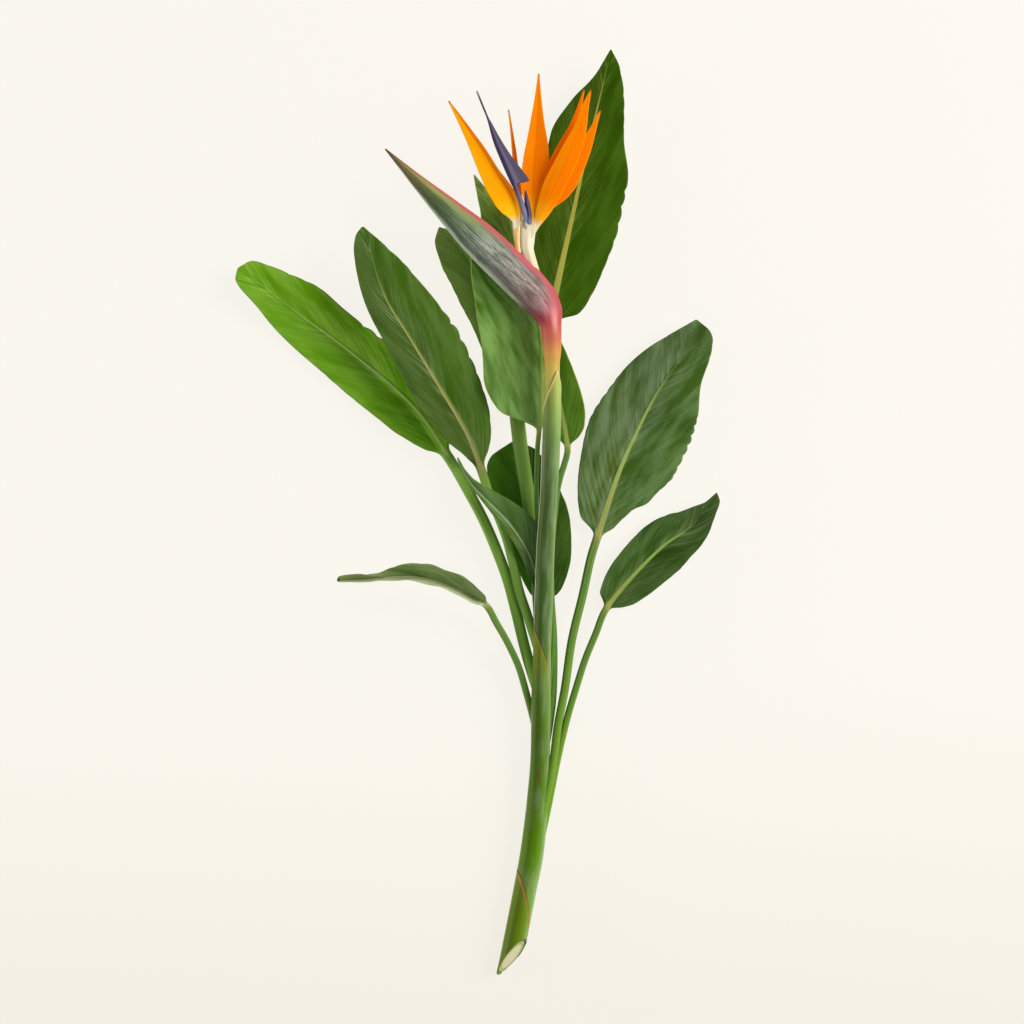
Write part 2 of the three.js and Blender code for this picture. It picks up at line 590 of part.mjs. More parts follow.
// next is the sheath below.  The grown body also closes the step between the two.
function sheathGeometry(sheath, next, grow) {
  const count = Math.round((SHEATH_LAST_ANGLE - SHEATH_FIRST_ANGLE) / sectionAngle);
  const angles = evenShares(SHEATH_LAST_ANGLE, SHEATH_FIRST_ANGLE, count);
  const widening = THREE.MathUtils.radToDeg(grow / SHEATH_SMALLEST_RADIUS);
  angles[0] += widening;
  angles[count] -= widening;
  const point = (angle, row, offset) => {
    const foot = next ? rimDistance(next, angle) + (grow > 0 ? 0 : SHEATH_STEP) : 0;
    const rim = rimDistance(sheath, angle) + grow;
    const share = (foot + ((rim - foot) * row) / SHEATH_ROWS) / stemPath.length;
    const radius = profile(STEM_RADIUS, share) + offset;
    const swing = radians(angle);
    return placed(stemPath.frame(share), radius * Math.cos(swing), radius * Math.sin(swing));
  };
  const face = (offset) =>
    Array.from({ length: SHEATH_ROWS + 1 }, (_, row) => angles.map((angle) => point(angle, row, offset)));
  return slab(face(grow), face(-SHEATH_THICKNESS - grow));
}

// ---------------------------------------------------------------- leaves

const SECTION_COLUMNS = [-3, -2, -1, 0, 1, 2, 3];
const STEM_COLUMN_ANGLE = 27; // degrees between the columns of the round petiole
const BASE_BLEND = 0.06; // share of the blade over which the round petiole flattens out
const ROLL_BLEND = 0.25; // share of the blade over which its roll sets in
const RIB_DEPTH = 1.4; // of the rib under the blade, in rib radii
const RIB_FLANK_DEPTH = 0.25; // at the rib's edge, in rib radii
const RIB_END_RADIUS = 0.7;
const RIB_TAPER = 1.5;
const RIB_WIDEST_SHARE = 0.5; // of the half blade
const MIDDLE_COLUMN_SHARE = 0.55; // of the half blade
const PETIOLE_ROW_SPACING = 28;
const BLADE_ROW_SPACING = 13;
const BLADE_FIRST_SHARES = [0, 0.025, 0.06];

const smooth = (x) => THREE.MathUtils.smoothstep(x, 0, 1);
const risen = (share, [from, to]) => THREE.MathUtils.smoothstep(share, from, to);

// Top and bottom points of a leaf's cross-section.  along is the share of the blade, below 0 on
// the petiole.
function leafSection(leaf, frame, along, petioleRadius, grow) {
  const endRadius = leaf.petioleRadius[leaf.petioleRadius.length - 1][1];
  const inBlade = Math.max(along, 0);
  const ribRadius = RIB_END_RADIUS + (endRadius - RIB_END_RADIUS) * (1 - inBlade) ** RIB_TAPER;
  const flat = smooth(inBlade / BASE_BLEND);
  const half = LEAF_THICKNESS / 2;
  const ripple = Math.sin(Math.PI * inBlade) * leaf.wave.height;
  const top = [];
  const bottom = [];
  for (const column of SECTION_COLUMNS) {
    const step = Math.abs(column);
    const sign = Math.sign(column);
    const width = profile(column < 0 ? leaf.left : leaf.right, inBlade) + grow;
    const ribEdge = Math.min(ribRadius, width * RIB_WIDEST_SHARE);
    const middle = Math.max(width * MIDDLE_COLUMN_SHARE, ribRadius);
    const reach = [0, ribEdge, middle, width][step];
    const tilt = radians(column < 0 ? leaf.fold[0] : leaf.fold[1]);
    const swing = 2 * Math.PI * (leaf.wave.count * inBlade + leaf.wave.phase + (column < 0 ? 0.5 : 0));
    const rise = reach * Math.sin(tilt) + ripple * Math.sin(swing) * (reach / width) ** 2;
    const across = sign * reach * Math.cos(tilt);
    const depth = [RIB_DEPTH * ribRadius, half + RIB_FLANK_DEPTH * ribRadius, half, half][step];
    const swingRound = radians(STEM_COLUMN_ANGLE * column);
    const round = petioleRadius + grow;
    const roundAcross = round * Math.sin(swingRound);
    const roundRise = round * Math.cos(swingRound);
    const lerp = THREE.MathUtils.lerp;
    const sideways = lerp(roundAcross, across, flat);
    top.push(placed(frame, sideways, lerp(roundRise, rise + half + grow, flat)));
    bottom.push(placed(frame, sideways, lerp(-roundRise, rise - depth - grow, flat)));
  }
  return { top, bottom };
}

function leafGeometry(leaf, grow) {
  const path = new Path([...leaf.petiole, ...leaf.blade]);
  const base = path.shareOf(leaf.petiole.length - 1);
  const petioleRows = Math.max(3, Math.round((base * path.length) / PETIOLE_ROW_SPACING));
  const bladeRows = Math.round(((1 - base) * path.length) / BLADE_ROW_SPACING);
  const [start, second, third] = BLADE_FIRST_SHARES.map((share) => base + (1 - base) * share);
  const petioleShares = evenShares(0, base, petioleRows).slice(0, -1);
  const shares = [...petioleShares, start, second, ...evenShares(third, 1, bladeRows)];
  const alongBlade = (share) => (share - base) / (1 - base);
  const rollAt = (share) => radians(leaf.roll) * smooth(alongBlade(share) / ROLL_BLEND);
  const frames = path.frames(shares, grow, rollAt);
  const sections = frames.map((frame, i) => {
    const petioleRadius = profile(leaf.petioleRadius, shares[i] / base);
    return leafSection(leaf, frame, alongBlade(shares[i]), petioleRadius, grow);
  });
  return slab(sections.map((s) => s.top), sections.map((s) => s.bottom));
}

// ---------------------------------------------------------------- spathe and flowers

const spathePath = new Path([
  stemPath.frame((NECK_DISTANCE + CLEARANCE) / stemPath.length).centre.toArray(),
  ...SPATHE_PATH,
]);

// Cross-section of the spathe: an oval, keeled below and drawn in at the slit along its top.
function spatheRing(frame, share, grow) {
  const height = profile(SPATHE_HALF_HEIGHT, share) + grow;
  const thickness = profile(SPATHE_HALF_THICKNESS, share) + grow;
  const slit = SLIT_DEPTH * risen(share, SLIT_OPENING) * smooth((1 - share) / SLIT_FADE);
  const keel = risen(share, KEEL_SHARES);
  return Array.from({ length: ROUND_SIDES }, (_, k) => {
    const angle = radians(sectionAngle * (k + 0.5 - 0.5 * keel));
    const across = -Math.cos(angle);
    const narrow = 1 - KEEL_NARROWING * keel * Math.max(0, -across) ** 2;
    const drawnIn = slit * Math.max(0, (across - 1) / SLIT_HALF_WIDTH + 1);
    return placed(frame, across * height - drawnIn, Math.sin(angle) * thickness * narrow);
  });
}

function spatheGeometry(grow) {
  const neck = evenShares(...SPATHE_NECK, 3);
  const bend = evenShares(...SPATHE_BEND, 4);
  const beak = evenShares(...SPATHE_BEAK, 9);
  const shares = [...neck, ...bend, ...beak];
  return loft(spathePath.frames(shares, grow).map((frame, i) => spatheRing(frame, shares[i], grow)));
}

function tubeGeometry(tube, grow) {
  const shares = evenShares(0, 1, TUBE_ROWS);
  const rings = new Path(tube.path).frames(shares, grow).map((frame, i) => {
    const halfWidth = profile(tube.halfWidth, shares[i]) + grow;
    const halfDepth = profile(tube.halfDepth, shares[i]) + grow;
    return ovalRing(frame, halfWidth, halfDepth, TUBE_SIDES);
  });
  return loft(rings);
}

// A pointed, folded blade of even thickness: a sepal or a petal.
function petalGeometry(petal, thickness, grow) {
  const stations = petal.stations ?? evenShares(0, 1, 12);
  const frames = new Path(petal.path).frames(stations, grow);
  const face = (offset) =>
    frames.map((frame, i) => {
      return [-1, -0.5, 0, 0.5, 1].map((place) => {
        const left = place < 0;
        const width = profile(left ? petal.left : petal.right, stations[i]) + grow;
        const tilt = radians(petal.fold[left ? 0 : 1]);
        const reach = Math.abs(place) * width;
        const across = Math.sign(place) * reach * Math.cos(tilt);
        const point = placed(frame, across, reach * Math.sin(tilt) + offset);
        return point.addScaledVector(frame.along, -(petal.sweep ?? 0) * reach);
      });
    });
  return slab(face(thickness / 2 + grow), face(-thickness / 2 - grow));
}

// ---------------------------------------------------------------- assembly

const flower = new THREE.Group();
flower.name = "bird_of_paradise";

function addPiece(name, solid, color) {
  const material = new THREE.MeshStandardMaterial({ color, roughness: 0.5, metalness: 0 });
  const mesh = new THREE.Mesh(toGeometry(solid), material);
  mesh.name = name;
  flower.add(mesh);
}

const floor = blockBeyond([0, 0, 0], [0, 0, -1]);
const beyondCut = blockBeyond(CUT_POINT, CUT_NORMAL);

addPiece("stalk", trimmed(toSolid(stalkGeometry(0)), [beyondCut, floor]), STALK_COLOR);

const stemKeepOut = [toSolid(stalkGeometry(CLEARANCE)), toSolid(spatheGeometry(CLEARANCE))];
SHEATHS.forEach((sheath, index) => {
  const solid = toSolid(sheathGeometry(sheath, SHEATHS[index + 1], 0));
  addPiece(sheath.name, trimmed(solid, [beyondCut]), sheath.color);
  stemKeepOut.push(toSolid(sheathGeometry(sheath, SHEATHS[index + 1], CLEARANCE)));
});

const stemAndSheaths = wasm.Manifold.union(stemKeepOut);
const petiolesKeepOut = [];
for (const leaf of LEAVES) {
  const solid = toSolid(leafGeometry(leaf, 0));
  addPiece(leaf.name, trimmed(solid, [stemAndSheaths, floor, ...petiolesKeepOut]), leaf.color);
  petiolesKeepOut.push(toSolid(leafGeometry(leaf, CLEARANCE)));
}

const tubesKeepOut = TUBES.map((tube) => toSolid(tubeGeometry(tube, CLEARANCE)));
addPiece("spathe", trimmed(toSolid(spatheGeometry(0)), tubesKeepOut), SPATHE_COLOR);
TUBES.forEach((tube) => addPiece(tube.name, toSolid(tubeGeometry(tube, 0)), TUBE_COLOR));

const flowerKeepOut = [...tubesKeepOut, toSolid(spatheGeometry(CLEARANCE))];
for (const sepal of SEPALS) {
  const solid = toSolid(petalGeometry(sepal, SEPAL_THICKNESS, 0));
  addPiece(sepal.name, trimmed(solid, flowerKeepOut), sepal.color);
  flowerKeepOut.push(toSolid(petalGeometry(sepal, SEPAL_THICKNESS, CLEARANCE)));
}
for (const petal of [TONGUE, SMALL_PETAL]) {
  const solid = toSolid(petalGeometry(petal, PETAL_THICKNESS, 0));
  addPiece(petal.name, trimmed(solid, flowerKeepOut), petal.color);
  flowerKeepOut.push(toSolid(petalGeometry(petal, PETAL_THICKNESS, CLEARANCE)));
}

export default flower;
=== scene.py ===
"""Looks of the bird of paradise: a cut flower stem with its leaves, lying on a pale floor.

The tables hold millimetres in the part's own frame: +Y runs from the cut end to the flower, +X is
to the right and +Z is up.  Every piece is a closed skin through rings of points, finer than the
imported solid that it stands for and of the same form.
"""

import bpy
import numpy as np
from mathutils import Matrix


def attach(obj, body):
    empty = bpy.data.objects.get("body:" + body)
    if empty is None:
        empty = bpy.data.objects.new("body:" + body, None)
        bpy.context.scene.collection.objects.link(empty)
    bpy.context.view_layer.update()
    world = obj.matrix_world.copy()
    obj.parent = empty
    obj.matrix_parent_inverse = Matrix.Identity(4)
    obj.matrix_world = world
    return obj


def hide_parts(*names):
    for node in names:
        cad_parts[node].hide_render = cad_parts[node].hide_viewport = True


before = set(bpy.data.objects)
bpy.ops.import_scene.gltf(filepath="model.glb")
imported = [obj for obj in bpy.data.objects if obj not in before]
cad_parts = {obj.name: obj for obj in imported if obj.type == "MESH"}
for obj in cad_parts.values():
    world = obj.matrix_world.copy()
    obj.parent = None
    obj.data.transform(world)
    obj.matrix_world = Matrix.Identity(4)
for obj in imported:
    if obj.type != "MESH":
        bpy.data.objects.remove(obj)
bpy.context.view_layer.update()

MM = 0.001  # metres in a millimetre

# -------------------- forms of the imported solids

SHEATH_THICKNESS = 0.7
SHEATH_GAP = 0.5  # between the stalk and the inside of a sheath
SHEATH_BUILD_UP = SHEATH_THICKNESS + SHEATH_GAP
NECK_DISTANCE = 467  # along the stem axis, where the stalk ends and the spathe begins
CLEARANCE = 0.3

# Axis of the stem, from below the cut to the neck under the spathe.
STEM_AXIS = (
    (22, -377, 7.8), (27, -354, 7.8), (37, -303, 7.9), (43, -271, 9), (47, -233, 11.2), (49.4, -194, 14.5),
    (50.1, -149.5, 19.5), (51.1, -102, 26), (52.1, -70, 30.5), (53.7, -26, 36), (56.3, 17.4, 41),
    (57.6, 49, 44), (58.5, 73, 46), (58.6, 112, 48.6), (58.5, 132, 49.5),
)
# Radius over the sheaths: (share of the axis, radius).
STEM_RADIUS = (
    (0, 9.3), (0.14, 9.2), (0.2, 9.4), (0.28, 8.6), (0.36, 7.7), (0.44, 7.8), (0.53, 7.1), (0.59, 7.4),
    (0.68, 7.3), (0.76, 6.9), (0.82, 7.3), (1, 7.2),
)
# The slanting cut through the stalk and its lowest sheath.
CUT_POINT = (27.5, -354, 7.8)
CUT_NORMAL = (0.67, -0.69, 0.58)

# Sheathing bracts round the stalk.  The mouth's tip lies at tip_distance along the axis, at
# tip_angle round it (0 is right, 90 is up), and the rim falls by slope * turn ** power from there.
SHEATH_FIRST_ANGLE = -56.25
SHEATH_LAST_ANGLE = 236.25
SHEATHS = (
    dict(name="sheath_upper", tip_distance=494, tip_angle=55, slope=0.29, power=1),
    dict(name="sheath_middle", tip_distance=292, tip_angle=180, slope=0.036, power=1.4),
    dict(name="sheath_lower", tip_distance=92, tip_angle=180, slope=0.0018, power=2),
)

# The beak-shaped spathe: its path past the neck, and its half height and half thickness.
SPATHE_PATH = (
    (58.7, 112, 48.6), (58.5, 131.7, 49.5), (57.3, 149, 50), (53.3, 160.8, 50.2), (43.6, 173.4, 50.4),
    (30.9, 186.3, 50.6), (2.3, 213.6, 51), (-23.6, 237.9, 52), (-49.2, 262.3, 53), (-72.8, 285.8, 54),
)
SPATHE_HALF_HEIGHT = (
    (0, 6), (0.12, 6), (0.16, 7.1), (0.237, 8.3), (0.287, 12.2), (0.35, 15), (0.423, 15.5), (0.581, 14.6),
    (0.724, 10.4), (0.866, 5.2), (1, 0.6),
)
SPATHE_HALF_THICKNESS = (
    (0, 6), (0.12, 6), (0.16, 7.1), (0.237, 7.3), (0.35, 9.5), (0.423, 9.6), (0.581, 8.8), (0.724, 6),
    (0.866, 3.2), (1, 0.6),
)
SLIT_DEPTH = 2.4  # along the upper edge
SLIT_OPENING = (0.33, 0.38)  # shares of the path over which the slit deepens
SLIT_FADE = 0.4  # share of the path over which it runs out towards the tip
SLIT_HALF_WIDTH = 0.02  # in half heights, the part of the oval that is drawn in
KEEL_SHARES = (0.24, 0.34)  # over these the round neck turns into the keeled beak
KEEL_NARROWING = 0.18  # how much thinner the beak is at its lower edge

# Leaves.  The petiole runs from the stalk to the blade's base and the blade on to its tip.
# left and right are half widths as (share of the blade, width), seen from above, base to tip.  At
# share 0 they are as wide as the petiole.
# fold tilts the two halves up from the rib, roll turns the whole blade (degrees).
# wave is the height, the count and the phase of the waves along the margins.
LEAVES = {}
LEAVES["leaf_tall"] = dict(
    petiole=((53, -188, 13.5), (56.5, -166, 12.5), (59, -142, 12.3), (59.3, -102, 12.5), (56.5, -54, 13),
        (57, 9.6, 13.5), (57, 73, 13.5), (56.5, 121, 13), (57, 149, 12.5)),
    blade=((62, 176.5, 12), (74, 231, 10), (84.5, 278.5, 9), (95.5, 324.5, 13), (105.6, 367, 25)),
    petiole_radius=((0, 3.8), (1, 4)),
    left=((0.12, 20), (0.35, 27), (0.55, 31), (0.66, 31.5), (0.79, 22), (0.9, 8), (1, 0.6)),
    right=((0.02, 12), (0.05, 20.5), (0.1, 26.5), (0.2, 32.5), (0.4, 38.5), (0.55, 37.8), (0.7, 27),
        (0.85, 19), (0.95, 9.8), (1, 0.6)),
    fold=(7, 7), wave=(2, 4, 0.1),
)
LEAVES["leaf_back_low"] = dict(
    petiole=((49, -225, 6), (53.4, -194, 3.2), (56.5, -150, 3.6), (56.5, -102, 4.2), (53.3, -74, 4)),
    blade=((51, -38, 4), (47, -6.4, 3.8), (39, 25.6, 4), (28, 56.7, 7)),
    petiole_radius=((0, 2.5), (1, 2.4)),
    left=((0.08, 12), (0.3, 23), (0.5, 28), (0.8, 30), (0.9, 27.5), (0.96, 21), (1, 0.6)),
    right=((0.1, 15), (0.3, 24), (0.5, 26), (0.7, 22), (0.9, 15), (1, 0.6)),
    fold=(2, 2), wave=(1, 2, 0),
)
LEAVES["leaf_right_lower"] = dict(
    petiole=((44, -284, 8.5), (50, -262, 8), (56.5, -232, 7.5), (63.7, -195.5, 8.5), (71, -164.5, 9.5),
        (77.6, -142, 10.5), (85.2, -118, 10.5), (94, -96.5, 10), (102, -77.4, 9)),
    blade=((120.8, -54, 7), (146.7, -28, 6), (170.6, -10.4, 9), (190, 15, 19)),
    petiole_radius=((0, 2.8), (1, 2.8)),
    left=((0.06, 12), (0.25, 19.5), (0.5, 21.5), (0.65, 19), (0.82, 11), (0.92, 3), (1, 0.6)),
    right=((0.14, 16), (0.31, 21), (0.5, 23), (0.69, 18), (0.87, 10), (0.97, 6), (1, 0.6)),
    fold=(8, 8), wave=(1, 2, 0.2),
)
LEAVES["leaf_right_upper"] = dict(
    petiole=((49.3, -249.5, 13.5), (56.5, -217.5, 14.5), (60.4, -195, 14.5), (63.6, -169.7, 15),
        (69.2, -140, 15.5), (74.7, -102, 15), (83.4, -66, 13), (89.5, -38, 11), (94.8, -20.7, 9)),
    blade=((102.5, 3.2, 7), (112, 30.7, 4.2), (122.5, 55, 2.5), (141.5, 93, 5), (164.2, 127.6, 11),
        (174.2, 152.8, 18)),
    petiole_radius=((0, 3.3), (1, 3.4)),
    left=((0.03, 11), (0.06, 17.5), (0.14, 25.5), (0.28, 33), (0.45, 39), (0.6, 35), (0.75, 28.5),
        (0.9, 17), (1, 1)),
    right=((0.04, 8.5), (0.09, 13.5), (0.16, 21.5), (0.2, 30), (0.25, 34), (0.36, 42), (0.5, 43),
        (0.66, 38), (0.8, 24.5), (0.95, 17), (0.98, 12), (1, 1)),
    fold=(8, 8), wave=(1.5, 3, 0.3),
)
LEAVES["leaf_back_left"] = dict(
    petiole=((49.3, -204, 10.5), (50.1, -178, 8.5), (50.1, -150, 7.7), (49.4, -110, 8), (47, -54, 9.5),
        (43.8, -14.3, 12), (39, 17.5, 15), (34.6, 45.4, 17), (31.4, 71.7, 16.5), (29.4, 89.2, 15)),
    blade=((19.8, 129, 13), (7, 169, 12), (-9.6, 200.8, 14), (-31, 226.2, 21)),
    petiole_radius=((0, 4), (0.35, 4.2), (0.65, 5.6), (1, 6)),
    left=((0.2, 14), (0.42, 18), (0.6, 21), (0.79, 20), (0.9, 15), (0.96, 10), (1, 0.6)),
    right=((0.3, 16), (0.6, 16), (0.87, 8), (0.94, 6), (1, 0.6)),
    fold=(5, 5), wave=(1, 2, 0.4),
)
LEAVES["leaf_left_outer"] = dict(
    petiole=((53.2, -157.5, 18.5), (44.9, -133.7, 17.5), (37.7, -109.9, 16), (29.9, -78.1, 15),
        (21.7, -48.6, 14.5), (5.9, -9.6, 14), (-10.6, 21.5, 12.5), (-24.4, 44.7, 10)),
    blade=((-53.6, 85.4, 6.5), (-102.5, 128, 2.6), (-142.5, 157.5, 5), (-191, 194, 18)),
    petiole_radius=((0, 4.4), (1, 4.2)),
    left=((0.03, 8), (0.06, 12.5), (0.11, 18.5), (0.21, 25.5), (0.4, 28), (0.6, 26), (0.76, 21.5),
        (0.88, 15), (0.95, 12), (0.985, 8.5), (1, 1)),
    right=((0.05, 10), (0.1, 16), (0.25, 23), (0.46, 25), (0.54, 24), (0.6, 24.5), (0.72, 27), (0.85, 21.2),
        (0.94, 15.5), (0.98, 11), (1, 1)),
    fold=(8, 8), wave=(1.5, 3, 0),
)
LEAVES["leaf_left_inner"] = dict(
    petiole=((52.8, -127.1, 25), (46.9, -105.7, 22), (38.1, -78.7, 20.5), (32.6, -62, 20.5),
        (26.6, -35.8, 21), (21, -15.9, 21.5), (8.3, 15.9, 22.5), (2.6, 33.4, 23)),
    blade=((-8.9, 62, 24), (-30.2, 98.5, 25), (-53.2, 136.5, 27), (-75.5, 174.4, 31), (-91.3, 225.5, 38)),
    petiole_radius=((0, 3.9), (1, 3.6)),
    left=((0.06, 9), (0.18, 22), (0.35, 26), (0.6, 22), (0.8, 18), (0.92, 14.2), (0.98, 8), (1, 1)),
    right=((0.05, 9.5), (0.09, 15.5), (0.19, 25.5), (0.3, 31.2), (0.4, 34.5), (0.5, 36.2), (0.57, 34.5),
        (0.68, 32), (0.81, 25.5), (0.9, 15), (1, 1)),
    fold=(32, 4), wave=(1.8, 4, 0.25),
)
LEAVES["leaf_centre_folded"] = dict(
    petiole=((54, -106, 26), (51.6, -82, 24.5), (49.2, -65, 24)),
    blade=((43.7, -42.9, 26), (36.5, -26.2, 28), (23.8, -7.9, 30.5), (8.8, 7.5, 32.5), (-3.1, 19.8, 34),
        (-11, 31.7, 35.5), (-16.1, 43.1, 36)),
    petiole_radius=((0, 3), (1, 2.6)),
    left=((0.17, 6.8), (0.38, 6.8), (0.585, 5.5), (0.745, 3), (0.88, 2.5), (1, 0.6)),
    right=((0.17, 16), (0.38, 18), (0.585, 13), (0.745, 7.2), (0.88, 2.6), (1, 0.6)),
    fold=(25, 2), wave=(0.6, 2, 0),
)
LEAVES["leaf_centre"] = dict(
    petiole=((54.8, -113.5, 21), (54, -78, 18.5), (50, -42, 19.5), (47.3, -6.3, 23.5), (46.4, 17.4, 27),
        (47.2, 49, 30.5), (48.4, 63.4, 31.5)),
    blade=((50, 88.8, 31), (49.6, 132.4, 31.5), (42.8, 171.2, 32), (29.4, 206, 33), (13.5, 237.6, 34),
        (-3, 266.7, 37)),
    petiole_radius=((0, 2), (1, 2)),
    left=((0.03, 20), (0.08, 35), (0.2, 46), (0.45, 47), (0.6, 43), (0.73, 34), (0.84, 13), (0.93, 6),
        (1, 0.6)),
    right=((0.08, 9), (0.3, 13), (0.6, 10), (0.81, 9), (0.92, 4), (1, 0.6)),
    fold=(4, -20), wave=(1.5, 3, 0.5),
)
LEAVES["leaf_centre_right"] = dict(
    petiole=((55.6, -141.5, 19), (58.8, -109.7, 19.8), (58.8, -78, 19.5), (58, -38, 20), (62, 9.5, 21),
        (65.2, 27, 21.5), (69.1, 39.7, 21.5), (71.1, 51.7, 21.5)),
    blade=((66.7, 78, 21.5), (62, 101, 21.5), (58, 128.7, 22.5), (54.8, 158.8, 24)),
    petiole_radius=((0, 2.4), (1, 2.5)),
    left=((0.15, 10), (0.4, 14), (0.7, 9), (1, 0.6)),
    right=((0.05, 9), (0.13, 16), (0.27, 19), (0.39, 18.5), (0.54, 16), (0.75, 10), (1, 0.6)),
    fold=(0, 8), wave=(0.8, 2, 0),
)
LEAVES["leaf_left_low"] = dict(
    petiole=((49.3, -193.5, 13), (44.5, -167.5, 15), (37.8, -141.7, 17), (31.8, -121.9, 18.5),
        (22.6, -102.2, 20.5), (14.4, -87.9, 22), (6.8, -74.6, 24)),
    blade=((-6.3, -66.9, 26), (-22.2, -59.2, 28), (-42, -53, 29), (-62, -51.4, 28), (-86, -53.6, 25),
        (-112, -54.6, 21)),
    petiole_radius=((0, 2.7), (1, 2.7)),
    left=((0.12, 14), (0.3, 20), (0.5, 20), (0.65, 14), (0.8, 10.5), (0.94, 9), (0.985, 5.5), (1, 1)),
    right=((0.04, 14), (0.1, 18), (0.2, 21), (0.5, 21), (0.62, 14), (0.75, 9), (0.94, 8.5), (0.985, 5.5),
        (1, 1)),
    fold=(68, 68), roll=13, wave=(3.2, 5, 0.15),
)

# The two flowers.  Each has a stiff tube that comes out of the spathe's slit and three sepals.
TUBES = {}
TUBES["flower_front_tube"] = dict(
    path=((34.9, 190.7, 51), (31.6, 206.4, 51.5), (30.6, 217.4, 52.5), (30.5, 227.6, 53.5)),
    half_width=((0, 2.2), (0.5, 2.2), (1, 3)),
    half_depth=((0, 2.2), (0.7, 2.2), (1, 0.7)),
)
TUBES["flower_back_tube"] = dict(
    path=((44.3, 187.6, 49.5), (39, 205.8, 49.5), (38.3, 216, 49.5), (39.5, 222.3, 50),
        (41.2, 229.4, 50.5)),
    half_width=((0, 4.8), (0.45, 5.1), (0.68, 5.5), (0.84, 6.4), (1, 8)),
    half_depth=((0, 4.6), (0.7, 4.4), (0.87, 3.2), (1, 0.6)),
)
SEPALS = {}
SEPALS["flower_front_sepal_left"] = dict(
    path=((30.6, 219.6, 55.4), (30.6, 228.2, 56.2), (29.8, 237.5, 57.5), (26.6, 247.6, 59), (21.5, 257, 60),
        (13.3, 269.1, 61), (4.1, 283.9, 62), (-7.2, 300, 62.5), (-22.7, 322.9, 61)),
    left=((0, 2.2), (0.06, 2.8), (0.155, 11.5), (0.25, 15.2), (0.335, 15.5), (0.455, 13), (0.6, 9.9),
        (0.77, 5.2), (1, 0.6)),
    right=((0, 2.2), (0.06, 2.8), (0.155, 4.2), (0.25, 5.2), (0.455, 3.4), (0.6, 3.2), (0.77, 2.6),
        (1, 0.6)),
    fold=(14, 38),
)
SEPALS["flower_front_sepal_back"] = dict(
    path=((34.1, 227, 50), (32.9, 246.4, 44), (29.5, 276.9, 38), (26.6, 302.6, 34), (24.3, 318.7, 31)),
    left=((0, 1.5), (0.3, 2.2), (0.6, 1.9), (0.8, 1.2), (1, 0.6)),
    right=((0, 1.5), (0.3, 2.4), (0.6, 2.1), (0.8, 1.2), (1, 0.6)),
    fold=(-20, -20),
)
SEPALS["flower_front_sepal_right"] = dict(
    path=((39.6, 217.3, 54.7), (42, 225.1, 55), (43.1, 241.8, 53.5), (43.5, 257.6, 52), (44.8, 277.4, 50.5),
        (46.4, 305.1, 50), (48.1, 345.1, 52)),
    left=((0, 3.6), (0.068, 3.4), (0.19, 5.5), (0.27, 9), (0.35, 10), (0.47, 9.2), (0.59, 7.2), (0.68, 5.6),
        (0.84, 2.8), (1, 0.6)),
    right=((0, 3.6), (0.068, 3.6), (0.19, 7.5), (0.3, 11), (0.47, 11.6), (0.59, 9.6), (0.68, 6.8),
        (0.84, 3.2), (1, 0.6)),
    fold=(10, 10),
)
SEPALS["flower_back_sepal_left"] = dict(
    path=((41.6, 217.3, 54.3), (45.5, 225.1, 54.8), (52.6, 239.2, 56.8), (61.2, 257.8, 59.5),
        (71, 279.7, 61.5), (80.6, 306.3, 62.5), (88.9, 331.5, 62)),
    left=((0, 3), (0.07, 3), (0.19, 6.5), (0.36, 9), (0.555, 7.6), (0.685, 5), (0.79, 2.8), (0.89, 2.6),
        (1, 0.6)),
    right=((0, 1.5), (0.07, 2.8), (0.19, 6), (0.36, 8.2), (0.555, 8.8), (0.7, 7.8), (0.79, 5.8),
        (0.89, 2.8), (1, 0.6)),
    fold=(-5, -9),
)
SEPALS["flower_back_sepal_right"] = dict(
    path=((43.2, 217.6, 49.5), (46.2, 225.4, 50), (53.8, 241.1, 51), (61.7, 253.6, 52.5), (71.5, 267.7, 54),
        (82.1, 284.1, 55.5), (89.5, 299, 56.5), (96.5, 315.8, 57)),
    left=((0, 2), (0.09, 2.6), (0.24, 5), (0.37, 8), (0.55, 8), (0.69, 5.5), (0.84, 2.8), (0.92, 1.6),
        (1, 0.6)),
    right=((0, 1), (0.09, 2.6), (0.18, 4.4), (0.24, 6), (0.31, 9), (0.37, 11), (0.44, 11.6), (0.52, 10.6),
        (0.69, 6.8), (0.84, 3.4), (0.92, 1.8), (1, 0.6)),
    fold=(-8, -8),
)
SEPALS["flower_back_sepal_back"] = dict(
    path=((42, 217.8, 47), (45.2, 225.7, 46), (49.9, 242.4, 45), (57, 262.1, 45), (67.1, 284.1, 46),
        (76.7, 306.1, 47), (83.9, 333.2, 48)),
    left=((0, 2), (0.07, 2.2), (0.21, 5), (0.38, 7), (0.57, 6.4), (0.77, 3.8), (0.89, 2), (1, 0.6)),
    right=((0, 2), (0.07, 2.2), (0.35, 7), (0.57, 6), (0.77, 2.8), (0.89, 1.6), (1, 0.6)),
    fold=(-10, -10),
)
